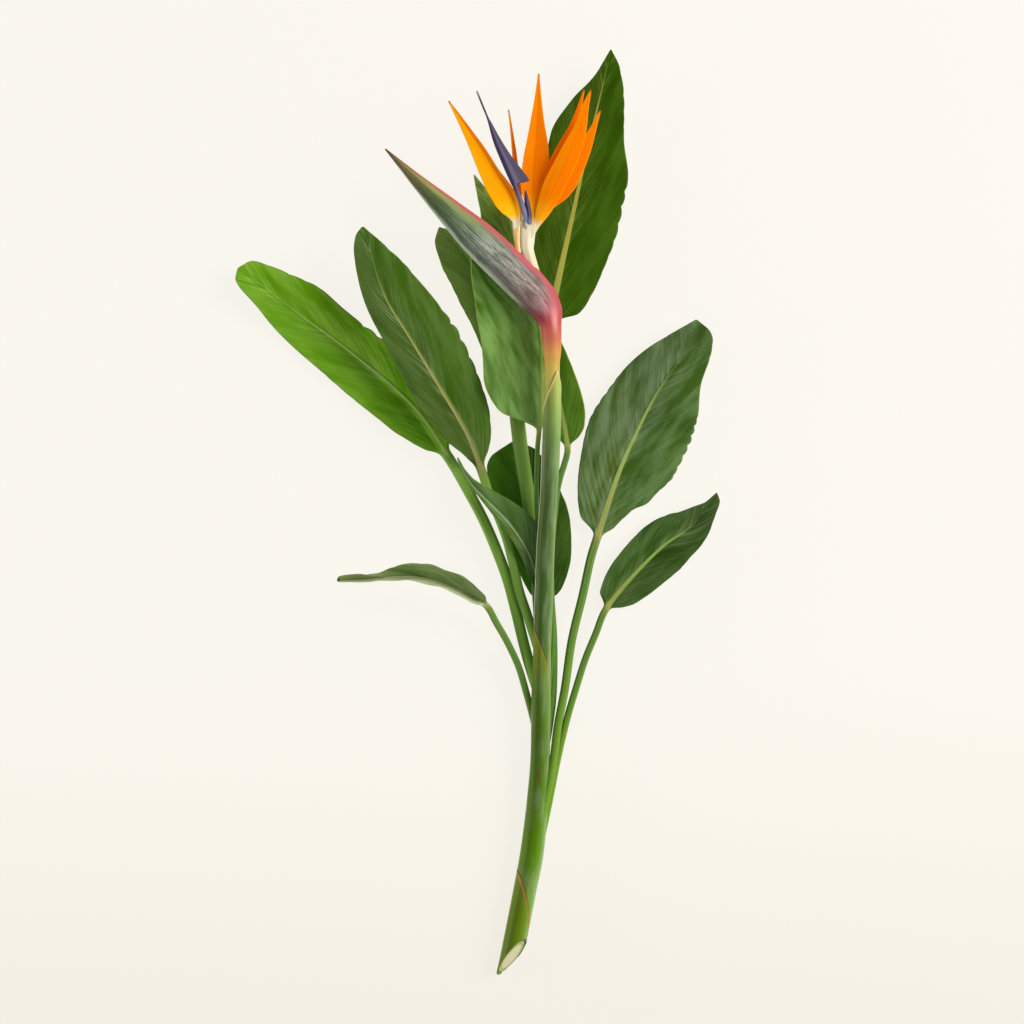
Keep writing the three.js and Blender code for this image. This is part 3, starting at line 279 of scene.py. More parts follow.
# The blue arrow of two joined petals that holds the style, and the small third petal at its foot.
# sweep is how far, per width, the margins lie behind the middle.
BLUE_PETALS = {}
BLUE_PETALS["flower_front_tongue"] = dict(
    path=((39, 224.2, 56.6), (38, 231.1, 59), (35.6, 239.6, 61.3), (32.5, 248.1, 63.5), (28.6, 258.1, 65.5),
        (21.9, 274, 68), (14.5, 290.7, 70.5), (8.1, 308.1, 72.5), (3.5, 319.4, 73), (-0.6, 329.6, 73)),
    left=((0, 2.4), (0.2, 2.1), (0.3, 2.2), (0.33, 2.6), (0.46, 3), (0.62, 2.5), (0.76, 1.2), (0.81, 0.8),
        (1, 0.8)),
    right=((0, 2), (0.3, 2.1), (0.312, 3), (0.325, 12.6), (0.4, 10.4), (0.51, 6.7), (0.65, 4), (0.78, 1.4),
        (0.81, 0.8), (1, 0.8)),
    fold=(-15, -15), sweep=0.3,
)
BLUE_PETALS["flower_front_small_petal"] = dict(
    path=((40.8, 225, 56.4), (40.3, 234.3, 59.2), (38.8, 243.6, 61), (37.4, 253.3, 62)),
    left=((0, 1.4), (0.3, 2.4), (0.6, 2.3), (1, 0.6)),
    right=((0, 1.4), (0.3, 2.4), (0.6, 2.1), (1, 0.6)),
    fold=(-20, -20),
)

# -------------------- looks

# left and right: darker and lighter green of the two halves.  The difference between the two halves is
# painted light and shade, one half painted as if lit and the other as if shaded.  The lighter green,
# laid on in patches, is partly the leaf's own mottling and partly painted sheen.  crisp: depth of the
# lobes of the left and right margin, lobe: their spacing, quilting: strength of the folds between
# side veins, vein_angle: between the rib and a side vein at the base, rib_reach: half width of the
# rib's colour in rib radii, rib_end and tip: shares of the blade, foot_mark: the joint's colour,
# base_sheen: strength of the painted sheen, a paler green near the base.
LEAF_LOOK = dict(
    slot="leaf_deep", vein="#86a05a", rib_foot="#97a052", petiole="#5c803c", petiole_foot="#4c7628",
    foot_mark="#7d8a40", edge="#5f7a34", rib_reach=0.65, rib_end=1.0, tip=1.1, base_sheen=0.0, gloss=0.22,
    crisp=(0.4, 0.4), lobe=12, quilting=1.0, vein_angle=30,
)
LEAF_LOOKS = dict(
    leaf_tall=dict(
        left=("#2e4902", "#3a5711"), right=("#2e5002", "#3c600c"), vein="#648430", rib="#a3a24a",
        rib_foot="#a8a650", edge="#3f6018", rib_reach=0.7, crisp=(0.3, 1.5), lobe=13, tip=1.0, gloss=0.15,
    ),
    leaf_back_low=dict(
        left=("#3a6d0d", "#457f18"), right=("#24440a", "#2e5414"), rib="#5d7d30", edge="#4a6a20",
    ),
    leaf_right_lower=dict(
        slot="leaf_grey", petiole_foot="#6f9a18", left=("#2e4c19", "#50703a"), right=("#294413", "#45632f"),
        vein="#7c9060", rib="#8ba553", edge="#4d6330", rib_end=0.85, tip=0.995,
    ),
    leaf_right_upper=dict(
        slot="leaf_grey", petiole_foot="#6f9a18", left=("#354e1c", "#627d56"), right=("#38581b", "#5d7d45"),
        vein="#84987a", rib="#94a95c", rib_foot="#9a9c58", foot_mark="#7d8446", edge="#4d6330",
        rib_end=0.83, crisp=(0.7, 1.7), lobe=9, gloss=0.35, quilting=1.8, vein_angle=38,
    ),
    # Its greens are lightened: painted light that makes up for the spathe's shadow on it.
    leaf_back_left=dict(
        left=("#70903e", "#85ab53"), right=("#70903e", "#85ab53"), rib="#5d7d3c", foot_mark="#c8964e",
        petiole="#7aa04a",
    ),
    leaf_left_outer=dict(
        slot="leaf_bright", left=("#5b980b", "#7cb32f"), right=("#629d0e", "#84b834"), vein="#93bb58",
        rib="#b4cc80", rib_foot="#a3c46c", petiole="#7ca548", petiole_foot="#679336", foot_mark="#6f9a40",
        edge="#6c8a34", rib_reach=0.2, rib_end=0.9, crisp=(0.3, 1.6), lobe=15,
    ),
    leaf_left_inner=dict(
        petiole="#789e48", petiole_foot="#679336", left=("#213f09", "#385923"),
        right=("#406516", "#55792d"), vein="#7f9468", rib="#95955a", rib_foot="#8f8a58", rib_reach=0.45,
        rib_end=0.92, crisp=(0.3, 2.0), lobe=14, vein_angle=26,
    ),
    leaf_centre_folded=dict(
        left=("#45642d", "#60814d"), right=("#45642d", "#60814d"), rib="#a3b58c", rib_foot="#a3b58c",
        vein="#5f7c40", rib_reach=0.25,
    ),
    leaf_centre=dict(
        left=("#416b11", "#7fad54"), right=("#487619", "#89b660"), vein="#9cba78", rib="#5a8030",
        edge="#9ab03c", quilting=1.6, base_sheen=0.2,
    ),
    leaf_centre_right=dict(
        slot="leaf_bright", left=("#3c630e", "#4d7721"), right=("#3c630e", "#4d7721"), vein="#86a048",
        rib="#7f8f40", edge="#8aa03c",
    ),
    # Its pale greens are lightened: painted light that makes up for the little light this steep leaf gets.
    leaf_left_low=dict(
        slot="leaf_grey", left=("#a6b57f", "#d8ddb5"), right=("#688747", "#a1b578"), vein="#b9c79c",
        rib="#c3cca4", rib_foot="#a9b67c", petiole="#64893f", edge="#8a9a5c", crisp=(1.2, 3.2), lobe=20,
        tip=0.99,
    ),
)

# along: colours by distance along the axis.  streaks: (angle, reach, from, to, colour, strength).
STALK_LOOK = dict(along=((0, "#5d7d30"), (515, "#6d8a4a")), bloom=0.2, streaks=(), rim=None)
SHEATH_LOOKS = dict(
    sheath_upper=dict(
        along=(
            (240, "#466a22"), (305, "#41632a"), (390, "#42602e"), (440, "#66854a"), (470, "#8ca24c"),
            (495, "#b0aa50"),
        ),
        bloom=0.3, rim=("#c4b068", "#ecc89c"), rim_width=1.8,
        streaks=(
            (124, 16, 250, 440, "#3c5230", 0.45), (140, 14, 398, 446, "#7c5f5c", 0.4),
            # The pale streak at 165 is partly the sheath's own pale margin and partly a painted highlight
            # along its left side.
            (165, 13, 245, 452, "#c9d4c0", 0.85),
        ),
    ),
    sheath_middle=dict(
        along=(
            (90, "#548206"), (150, "#4c7412"), (200, "#466c1c"), (240, "#4f741a"), (275, "#7c8a24"),
            (292, "#8a7a3c"),
        ),
        bloom=0.25, rim=("#8a8430", "#9a5a3c"), rim_width=1.4, streaks=((90, 16, 158, 182, "#5f3a20", 0.65),),
    ),
    sheath_lower=dict(
        along=((10, "#5a7608"), (60, "#5e7e0c"), (92, "#6a801a")),
        bloom=0.12, rim=("#a07a3c", "#9a4a26"), rim_width=2.0, streaks=(),
    ),
)

# left and right are the colours of a sepal's two halves. Where they differ, the lighter left half and darker
# right half are painted light and shade.
SEPAL_LOOK = dict(
    left="#fb8806", right="#f97c02", vein="#ee6602", crease="#e45c02", margin="#ff9c0c", low="#ffb016",
)
SEPAL_LOOKS = dict(
    flower_front_sepal_left=dict(left="#ffa808", right="#f78204", vein="#fd8c04", low="#ffc01a"),
    flower_back_sepal_back=dict(left="#f07004", right="#f07004", margin="#f98a08"),
    flower_front_sepal_back=dict(left="#f98410", right="#f07808"),
)
TUBE_STRIPES = dict(flower_front_tube="#f3b23a", flower_back_tube="#e9ddba")

# -------------------- curves and profiles

SPAN_SAMPLES = 64
WANDER_RATES = (1, 1.73, 2.91, 4.37)
WANDER_WEIGHTS = (0.45, 0.3, 0.15, 0.1)
UP = np.array([0.0, 0.0, 1.0])


def lerp(start, end, t):
    return start + (end - start) * t


def smooth(x, low=0.0, high=1.0):
    t = np.clip((x - low) / (high - low), 0, 1)
    return t * t * (3 - 2 * t)


def hermite(start, end, leave, arrive, t):
    first = (start * (1 + 2 * t) + leave * t) * (1 - t) ** 2
    return first + (end * (3 - 2 * t) - arrive * (1 - t)) * t**2


def unit(vectors):
    return vectors / np.linalg.norm(vectors, axis=-1, keepdims=True)


class Path:
    """A smooth curve through points, with places on it given as shares of its length."""

    def __init__(self, points):
        p = np.array(points, float)
        p = np.vstack([2 * p[0] - p[1], p, 2 * p[-1] - p[-2]])
        t = np.arange(SPAN_SAMPLES)[:, None] / SPAN_SAMPLES
        spans = [hermite(b, c, (c - a) / 2, (d - b) / 2, t) for a, b, c, d in zip(p, p[1:], p[2:], p[3:])]
        self.points = np.vstack([*spans, p[-2]])
        steps = np.linalg.norm(np.diff(self.points, axis=0), axis=1)
        self.distances = np.concatenate([[0], np.cumsum(steps)])
        self.length = self.distances[-1]
        self.tangents = np.gradient(self.points, self.distances, axis=0)

    def share_of(self, index):
        return self.distances[SPAN_SAMPLES * index] / self.length

    def read(self, table, shares):
        at = np.asarray(shares) * self.length
        return np.stack([np.interp(at, self.distances, table[:, axis]) for axis in range(3)], -1)

    def frames(self, shares, roll=0.0):
        """Centres, sideways directions (to the right, seen from above) and normals (upwards)."""
        along = unit(self.read(self.tangents, shares))
        normal = unit(UP - along * along[..., 2:])
        side = np.cross(along, normal)
        turn = np.asarray(roll)[..., None]
        cosine, sine = np.cos(turn), np.sin(turn)
        return self.read(self.points, shares), side * cosine - normal * sine, normal * cosine + side * sine


def profile(pairs, shares):
    """Smooth curve through (share, value) pairs that never overshoots them."""
    x, y = np.array(pairs, float).T
    slopes = np.diff(y) / np.diff(x)
    before, after = slopes[:-1], slopes[1:]
    same_way = before * after > 0
    inner = np.where(same_way, 2 * before * after / np.where(same_way, before + after, 1), 0)
    tangents = np.concatenate([slopes[:1], inner, slopes[-1:]])
    share = np.clip(shares, x[0], x[-1])
    i = np.clip(np.searchsorted(x, share, side="right") - 1, 0, len(x) - 2)
    span = x[i + 1] - x[i]
    t = (share - x[i]) / span
    return hermite(y[i], y[i + 1], tangents[i] * span, tangents[i + 1] * span, t)


def wander(x, seed):
    """A smooth irregular line between about -1 and 1, as a sum of waves that never fall in step."""
    phases = np.random.default_rng(seed).uniform(0, 2 * np.pi, len(WANDER_RATES))
    waves = [np.sin(x * rate + phase) for rate, phase in zip(WANDER_RATES, phases)]
    return sum(wave * weight for wave, weight in zip(waves, WANDER_WEIGHTS))


# -------------------- closed skins

UV_NAME = "OFBake"
CAP_SHARE = 0.015  # of the map's height, for each end of a skin


def placed(frames, sideways, upwards):
    centre, side, normal = frames
    if centre.ndim < np.ndim(sideways) + 1:
        centre, side, normal = (part[:, None] for part in (centre, side, normal))
    return centre + side * np.asarray(sideways)[..., None] + normal * np.asarray(upwards)[..., None]


def two_faced(top, bottom):
    """A grid that runs over the top from left to right and back underneath."""
    return np.concatenate([top, bottom[:, ::-1]], axis=1)


def linked(name, data):
    """A new object in the scene that holds the data."""
    made = bpy.data.objects.new(name, data)
    bpy.context.scene.collection.objects.link(made)
    return made


def skin(node, material, rings, marks):
    """Closed mesh through rings of points (rows, around, xyz), which replaces a CAD node.

    A ring runs from the left over the top to the right and back underneath.  marks holds the
    (rows, around, 3) grids that the material reads.
    """
    rows, around = rings.shape[:2]
    here = np.arange(rows * around).reshape(rows, around)
    beyond = np.roll(here, -1, axis=1)
    sides = np.stack([here[:-1], beyond[:-1], beyond[1:], here[1:]], -1).reshape(-1, 4)
    k = np.arange(around // 2 - 1)
    start = np.stack([here[0, k + 1], here[0, k], here[0, -1 - k], here[0, -2 - k]], -1)
    end = np.stack([here[-1, k], here[-1, k + 1], here[-1, -2 - k], here[-1, -1 - k]], -1)
    faces = np.vstack([sides, start, end])

    mesh = bpy.data.meshes.new(f"{node}_skin")
    mesh.from_pydata((rings.reshape(-1, 3) * MM).tolist(), [], faces.tolist())
    mesh.shade_smooth()
    for name, grid in marks.items():
        full = np.broadcast_to(grid, rings.shape).astype(np.float32)
        mesh.attributes.new(name, "FLOAT_VECTOR", "POINT").data.foreach_set("vector", full.ravel())

    column, row = np.meshgrid(np.arange(around), np.arange(rows - 1))
    u = np.stack([column, column + 1, column + 1, column], -1) / around
    v = np.stack([row, row, row + 1, row + 1], -1) / (rows - 1)
    side_map = np.stack([u, lerp(CAP_SHARE * 1.5, 1 - CAP_SHARE * 1.5, v)], -1).reshape(-1, 2)
    strip_u = np.stack([k + 1, k, k, k + 1], -1) / (around // 2)
    strip_v = np.broadcast_to([0, 0, CAP_SHARE, CAP_SHARE], strip_u.shape)
    start_map = np.stack([strip_u, strip_v], -1).reshape(-1, 2)
    end_map = np.stack([strip_u, 1 - strip_v], -1).reshape(-1, 2)
    coordinates = np.vstack([side_map, start_map, end_map]).astype(np.float32)
    mesh.uv_layers.new(name=UV_NAME).uv.foreach_set("vector", coordinates.ravel())

    mesh.materials.append(material)
    piece = linked(f"{node}_skin", mesh)
    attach(piece, "root")
    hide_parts(node)


def stacked(*values):
    """Three grids or numbers side by side, as one grid of marks."""
    return np.stack(np.broadcast_arrays(*values), -1)


def on_table(points):
    """Keeps points from sinking into the table."""
    points[..., 2] = np.maximum(points[..., 2], 0)
    return points


# -------------------- materials

def srgb(code):
    """Linear colour of a hexadecimal one."""
    channels = [int(code[i : i + 2], 16) / 255 for i in (1, 3, 5)]
    linear = [c / 12.92 if c <= 0.04045 else ((c + 0.055) / 1.055) ** 2.4 for c in channels]
    return (*linear, 1.0)


def arithmetic(operation):
    return lambda value, other: value.shader.math(operation, value, other)


class Value:
    """A number or vector that a node gives, with arithmetic that adds Math nodes."""

    __add__ = __radd__ = arithmetic("ADD")
    __mul__ = __rmul__ = arithmetic("MULTIPLY")
    __sub__ = arithmetic("SUBTRACT")

    def __init__(self, shader, socket):
        self.shader = shader
        self.socket = socket

    def __rsub__(self, other):
        return self.shader.math("SUBTRACT", other, self)

    def size(self):
        return self.shader.math("ABSOLUTE", self)

    def step(self, low, high):
        """Rises smoothly from 0 at low to 1 at high, or falls where low is the greater."""
        node = self.shader.node("ShaderNodeMapRange", interpolation_type="SMOOTHSTEP")
        for socket, value in zip(node.inputs, (self, low, high)):
            self.shader.put(socket, value)
        return Value(self.shader, node.outputs[0])

    def bump(self, middle, reach):
        """1 at the middle, falling smoothly to 0 at reach on both sides."""
        return (self - middle).size().step(reach, 0)


class Shader:
    """One material with short names for its nodes.

    color is the surface's colour so far.  Places of noise are in grains, so a number that a mark is
    multiplied by there says how many grains one of its units holds.
    """

    def __init__(self, name):
        self.material = bpy.data.materials.new(name)
        self.material.use_nodes = True
        self.tree = self.material.node_tree
        self.surface = self.tree.nodes["Principled BSDF"].inputs
        self.color = None

    def node(self, kind, **settings):
        made = self.tree.nodes.new(kind)
        for name, value in settings.items():
            setattr(made, name, value)
        return made

    def put(self, socket, value):
        if isinstance(value, Value):
            self.tree.links.new(value.socket, socket)
        elif isinstance(value, str):
            socket.default_value = srgb(value)
        else:
            socket.default_value = value

    def math(self, operation, *values):
        node = self.node("ShaderNodeMath", operation=operation)
        for socket, value in zip(node.inputs, values):
            self.put(socket, value)
        return Value(self, node.outputs[0])

    def marks(self, name):
        """The three numbers of a piece's marks of this name."""
        attribute = self.node("ShaderNodeAttribute", attribute_name=name)
        split = self.node("ShaderNodeSeparateXYZ")
        self.tree.links.new(attribute.outputs["Vector"], split.inputs[0])
        return [Value(self, socket) for socket in split.outputs]

    def vector(self, *values):
        node = self.node("ShaderNodeCombineXYZ")
        for socket, value in zip(node.inputs, values):
            self.put(socket, value)
        return Value(self, node.outputs[0])

    def noise(self, *place, detail=2.0, roughness=0.5):
        """Noise about 0.5 at a place whose coordinates are in grains."""
        node = self.node("ShaderNodeTexNoise")
        self.put(node.inputs["Vector"], self.vector(*place))
        self.put(node.inputs["Scale"], 1.0)
        self.put(node.inputs["Detail"], detail)
        self.put(node.inputs["Roughness"], roughness)
        return Value(self, node.outputs[0])

    def mix(self, factor, first, second):
        node = self.node("ShaderNodeMix", data_type="RGBA")
        self.put(node.inputs[0], factor)
        self.put(node.inputs[6], first)
        self.put(node.inputs[7], second)
        return Value(self, node.outputs[2])

    def shade(self, color, amount):
        """The colour made brighter or darker by a factor."""
        node = self.node("ShaderNodeVectorMath", operation="SCALE")
        self.put(node.inputs[0], color)
        self.put(node.inputs["Scale"], amount)
        return Value(self, node.outputs[0])

    def paint(self, mask, color):
        """Lays a colour over the surface's own where the mask is 1."""
        self.color = self.mix(mask, self.color, color)

    def dim(self, amount):
        self.color = self.shade(self.color, amount)

    def ramp(self, value, *stops):
        """Colour read from (value, colour) stops."""
        low, high = stops[0][0], stops[-1][0]
        node = self.node("ShaderNodeValToRGB")
        self.put(node.inputs[0], (value - low) * (1 / (high - low)))
        elements = node.color_ramp.elements
        while len(elements) < len(stops):
            elements.new(1.0)
        for element, (at, color) in zip(elements, stops):
            element.position = (at - low) / (high - low)
            element.color = srgb(color)
        return Value(self, node.outputs[0])

    def finish(self, roughness, height, depth, specular, tint):
        """Sets the surface.  height, from 0 to 1, becomes relief that is depth millimetres high."""
        bump = self.node("ShaderNodeBump")
        self.put(bump.inputs["Height"], height)
        self.put(bump.inputs["Distance"], depth * MM)
        self.tree.links.new(bump.outputs[0], self.surface["Normal"])
        self.put(self.surface["Base Color"], self.color)
        self.put(self.surface["Roughness"], roughness)
        self.put(self.surface["Specular IOR Level"], specular)
        self.put(self.surface["Specular Tint"], tint)
        return self.material


# -------------------- leaves

LEAF_TINT = "#f0ff80"  # of the gloss
SEPAL_TINT = "#ffc000"
WHITE = "#ffffff"
PETIOLE_STEP = 4.0  # between rows
BLADE_STEP = 1.5
HALF_COLUMNS = 26
RIB_COLUMNS = 0.2  # share of the columns on the rib
CROWDING = 0.9  # below 1, the columns crowd towards the margin
BASE_BLEND = 0.06  # share of the blade over which the round petiole flattens out
ROLL_BLEND = 0.25
CHANNEL_DEPTH = 0.16  # of the furrow on top of the petiole, in its radii
CHANNEL_ANGLE = 0.4  # half width of the furrow, in radians
CHANNEL_START = 0.1  # share of the petiole
BLADE_HALF_THICKNESS = 0.32
MARGIN_HALF_THICKNESS = 0.12
BOW = 1.0  # how far each half arches

RIB_END_RADIUS = 0.7
RIB_TAPER = 1.5
RIB_CROWN = 0.22  # rise of the rib's middle on the upper face, in rib radii
RIB_DEPTH = 1.4  # of the rib under the blade, in rib radii
KEEL_REACH = 1.3  # its half width there, in rib radii
RIB_TRENCH = 0.3  # depth of the furrow beside the rib
TRENCH_REACH = 0.6  # half width of the furrow, in rib radii
TRENCH_WIDTHS = (4, 14)  # half widths of the blade between which the furrow sets in
RIB_SHOULDER = 5.0  # distance beyond the rib over which the folds set in

# Folds between the side veins.
VEIN_RELIEF = 0.2
VEIN_SPACING = 7.5
VEIN_BEND = 0.5  # how much steeper the side veins run at the tip than at the base
VEIN_START = 0.1  # share of the blade over which they set in
VEIN_SWAY = 1.6  # how far their spacing wanders, in radians
VEIN_DRIFT = 12.0  # length over which it wanders
VEIN_SEED = 5

# Lobes and waves of the margins.
LOBE_DRIFT = 17.0
LOBE_SEED = 3
LOBE_ROUNDNESS = 0.7
NOTCH_DRIFT = 21.0
NOTCH_SEED = 7
NOTCH_LEVEL = 0.55  # of the notches' depth, which wanders about it up to the limit
NOTCH_LIMIT = 1.2
NOTCH_FADE = 0.6  # the lower, the nearer to base and tip the notches reach
RIPPLE_DRIFT = 9.0
RIPPLE_SEED = 11
RIPPLE_SHARE = 0.35  # of an irregular wave in the even one


def leaf_grid(leaf, look):
    """Top points, bottom points and marks of a leaf from the petiole's foot to the blade's tip."""
    path = Path(leaf["petiole"] + leaf["blade"])
    base = path.share_of(len(leaf["petiole"]) - 1)
    petiole_rows = int(base * path.length / PETIOLE_STEP)
    blade_rows = int((1 - base) * path.length / BLADE_STEP)
    petiole_shares = np.linspace(0, base, petiole_rows, endpoint=False)
    shares = np.concatenate([petiole_shares, np.linspace(base, 1, blade_rows)])[:, None]
    blade_length = (1 - base) * path.length
    t = (shares - base) / (1 - base)
    blade = np.clip(t, 0, 1)
    roll = np.radians(leaf.get("roll", 0)) * smooth(blade / ROLL_BLEND)
    frames = path.frames(shares[:, 0], roll[:, 0])

    column = np.linspace(-1, 1, 2 * HALF_COLUMNS + 1)[None, :]
    left = column < 0
    place = np.abs(column)
    along = t * blade_length

    end_radius = leaf["petiole_radius"][-1][1]
    halves = [profile(((0, end_radius), *leaf[half]), blade) for half in ("left", "right")]
    width = np.where(left, *halves)
    crisp = np.where(left, look["crisp"][0], look["crisp"][1])
    lobe = np.abs(np.sin(np.pi * along / look["lobe"] + wander(along / LOBE_DRIFT, LOBE_SEED + left)))
    notched = np.clip(wander(along / NOTCH_DRIFT, NOTCH_SEED + left) + NOTCH_LEVEL, 0, NOTCH_LIMIT)
    width = width - crisp * notched * (1 - lobe**LOBE_ROUNDNESS) * np.sin(np.pi * blade) ** NOTCH_FADE

    rib = RIB_END_RADIUS + (end_radius - RIB_END_RADIUS) * (1 - blade) ** RIB_TAPER
    rib_edge = np.minimum(rib, width / 2)
    outside = lerp(rib_edge, width, np.clip((place - RIB_COLUMNS) / (1 - RIB_COLUMNS), 0, 1) ** CROWDING)
    reach = np.where(place < RIB_COLUMNS, rib_edge * place / RIB_COLUMNS, outside)
    ratio = reach / width
    beyond_rib = smooth(reach, rib_edge, rib_edge + RIB_SHOULDER)

    tilt = np.radians(np.where(left, leaf["fold"][0], leaf["fold"][1]))
    wave_height, wave_count, wave_phase = leaf["wave"]
    swing = 2 * np.pi * (wave_count * blade + wave_phase + np.where(left, 0.5, 0))
    ripple = np.sin(swing) + RIPPLE_SHARE * wander(along / RIPPLE_DRIFT, RIPPLE_SEED + left)
    rise = reach * np.sin(tilt) + np.sin(np.pi * blade) * wave_height * ripple * ratio**2
    rise += BOW * np.sin(np.pi * ratio) * np.sin(np.pi * blade)

    origin = along - reach / np.tan(np.radians(look["vein_angle"])) * (1 + VEIN_BEND * blade)
    sway = VEIN_SWAY * wander(origin / VEIN_DRIFT, VEIN_SEED + left)
    folds = np.sin(2 * np.pi * origin / VEIN_SPACING + sway)
    set_in = smooth(blade, 0, VEIN_START)
    rise += VEIN_RELIEF * look["quilting"] * folds * beyond_rib * set_in * (1 - ratio**3)

    across = np.sign(column) * reach * np.cos(tilt)
    half = lerp(BLADE_HALF_THICKNESS, MARGIN_HALF_THICKNESS, ratio**3)
    rib_ratio = reach / rib_edge
    crown = RIB_CROWN * rib * np.clip(1 - rib_ratio**2, 0, 1)
    trench = RIB_TRENCH * np.clip(1 - np.abs(rib_ratio - 1) / TRENCH_REACH, 0, 1)
    trench = trench * smooth(width, *TRENCH_WIDTHS)
    keel = RIB_DEPTH * rib * np.sqrt(np.clip(1 - (rib_ratio / KEEL_REACH) ** 2, 0, 1))

    petiole_radius = profile(leaf["petiole_radius"], shares / base)
    angle = column * np.pi / 2
    channel = CHANNEL_DEPTH * petiole_radius * np.exp(-((angle / CHANNEL_ANGLE) ** 2))
    channel = channel * smooth(shares, CHANNEL_START * base, base)
    flat = smooth(blade / BASE_BLEND)
    sideways = lerp(petiole_radius * np.sin(angle), across, flat)
    lift = np.maximum(petiole_radius * np.cos(angle), MARGIN_HALF_THICKNESS)
    upper = lerp(lift - channel, rise + half + crown - trench, flat)
    lower = lerp(-lift, rise - np.maximum(half, keel), flat)
    top = on_table(placed(frames, sideways, upper))
    bottom = on_table(placed(frames, sideways, lower))

    girth = lerp(petiole_radius * angle, np.sign(column) * reach, flat)
    margin = lerp(petiole_radius, width - reach, flat)
    rib_place = lerp(np.abs(column), rib_ratio, flat)
    grain = stacked(origin, girth, t)
    marks = {
        "grain": two_faced(grain, grain),
        "place": two_faced(stacked(margin, rib_place, 1.0), stacked(margin, rib_place, 0.0)),
    }
    return top, bottom, marks


def leaf_material(name, look):
    s = Shader(f"{name}_surface")
    origin, across, share = s.marks("grain")
    margin, rib, face = s.marks("place")

    thread = s.noise(origin * 0.9, across * 0.02, 0.0, detail=3.0, roughness=0.6)
    cloud = s.noise(origin * 0.07, across * 0.06, 4.0)
    patch = s.noise(origin * 0.03, across * 0.09, 9.0)
    # Painted light and shade: the two halves take different greens, one as if lit and one as if shaded. The
    # lighter green laid on in patches is partly the leaf's own mottling and partly painted sheen.
    side = across.step(-0.6, 0.6)
    dark, light = (s.mix(side, look["left"][k], look["right"][k]) for k in (0, 1))
    s.color = s.mix((patch * 0.6 + cloud * 0.4).step(0.36, 0.64), dark, light)
    s.dim(0.8 + thread * 0.24 + cloud * 0.16)
    # Painted sheen: a paler green laid on towards the blade's base.
    s.paint(share.step(0.6, 0.1) * look["base_sheen"], "#8fb070")
    vein = s.noise(origin * 0.5, across * 0.006, 7.0, detail=0.0).bump(0.5, 0.04) * patch.step(0.35, 0.6)
    s.paint(vein * 0.55, look["vein"])
    # Dark lines in the furrows between the side veins: partly the leaf's own darker veins, partly painted
    # shade.
    furrow = s.noise(origin * 0.33, across * 0.004, 15.0, detail=0.0).bump(0.5, 0.035) * cloud.step(0.4, 0.6)
    s.dim(1 - furrow * 0.35)

    under = s.shade(s.mix(0.35, s.color, "#8fa57c"), 1.1)
    s.paint(1 - face, under)

    reach = look["rib_reach"]
    on_rib = rib.step(reach + 0.25, reach - 0.1) * share.step(look["rib_end"], look["rib_end"] - 0.3)
    streak = s.noise(across * 1.4, origin * 0.01, 3.0)
    rib_color = s.ramp(share, (0.0, look["rib_foot"]), (0.35, look["rib"]), (1.0, look["rib"]))
    s.paint(on_rib, s.shade(rib_color, streak * 0.4 + 0.8))

    edge = margin.step(0.9, 0.3) * s.noise(origin * 0.15, 0.0, 5.0).step(0.25, 0.5)
    s.paint(edge * 0.8, look["edge"])
    s.paint(share.step(look["tip"] - 0.02, look["tip"] + 0.01), "#5b4526")

    fibre = s.noise(across * 1.1, origin * 0.012, 1.0, detail=3.0)
    stem = s.ramp(
        share, (-1.6, look["petiole_foot"]), (-0.06, look["petiole"]), (-0.01, look["foot_mark"]),
        (0.03, look["rib_foot"]),
    )
    s.paint(share.step(0.04, -0.03), s.shade(stem, fibre * 0.5 + 0.75))

    rough = 0.38 + thread * 0.12 + cloud * 0.1
    return s.finish(rough, thread * 0.6 + vein * 0.4, 0.2, look["gloss"], LEAF_TINT)


def add_leaf(name, leaf):
    look = {**LEAF_LOOK, **LEAF_LOOKS[name]}
    top, bottom, marks = leaf_grid(leaf, look)
    skin(name, leaf_material(name, look), two_faced(top, bottom), marks)


# -------------------- stalk and sheaths

STALK_ROWS = 240
STALK_COLUMNS = 72
ROW_CROWDING = 1.15  # above 1, the rows crowd towards the cut
CUT_RINGS = (0.02, 0.2, 0.38, 0.55, 0.7, 0.8, 0.86, 0.91, 0.95, 0.98, 0.993)  # shares of the cut's radius
CUT_SEARCH = 60.0  # the cut lies within this distance of the axis' start
CUT_STEPS = 30  # halvings of that distance
PITH_RELIEF = 0.18
PITH_SINK = 0.25  # of the pith below the cut's rim
PITH_WAVE = 25.0  # phase of the pith's waves from the middle to the rim, in radians
PITH_SWIRL = 23.0  # degrees round the cut that add one radian to it
PITH_SEED = 21
STALK_RING = 2.0  # mark of what lies outside the cut
SHEATH_ROWS = 220
SHEATH_COLUMNS = 60
SHEATH_TUCK = 5.0  # how far a sheath runs on under the one below
SHEATH_TUCK_DEPTH = 0.75
RIM_FLARE = 0.12
RIM_LENGTH = 6.0
RIM_THINNING = 0.35
TUCK_REACH = 1.0  # distance on both sides of a mouth over which the sheath above dips under it

stem_path = Path(STEM_AXIS)


def stem_point(distance, angle, offset):
    share = distance / stem_path.length
    radius = profile(STEM_RADIUS, share) + offset
    centre, side, normal = stem_path.frames(share)
    swing = np.radians(angle)
    return placed((centre, side, normal), radius * np.cos(swing), radius * np.sin(swing))


def cut_distance(angle, offset):
    """Distance along the axis at which the slanting cut meets a line along the stem."""
    low = np.zeros(np.shape(angle))
    high = np.full(np.shape(angle), CUT_SEARCH)
    for _ in range(CUT_STEPS):
        middle = (low + high) / 2
        beyond = (stem_point(middle, angle, offset) - CUT_POINT) @ np.array(CUT_NORMAL) > 0
        low = np.where(beyond, middle, low)
        high = np.where(beyond, high, middle)
    return high


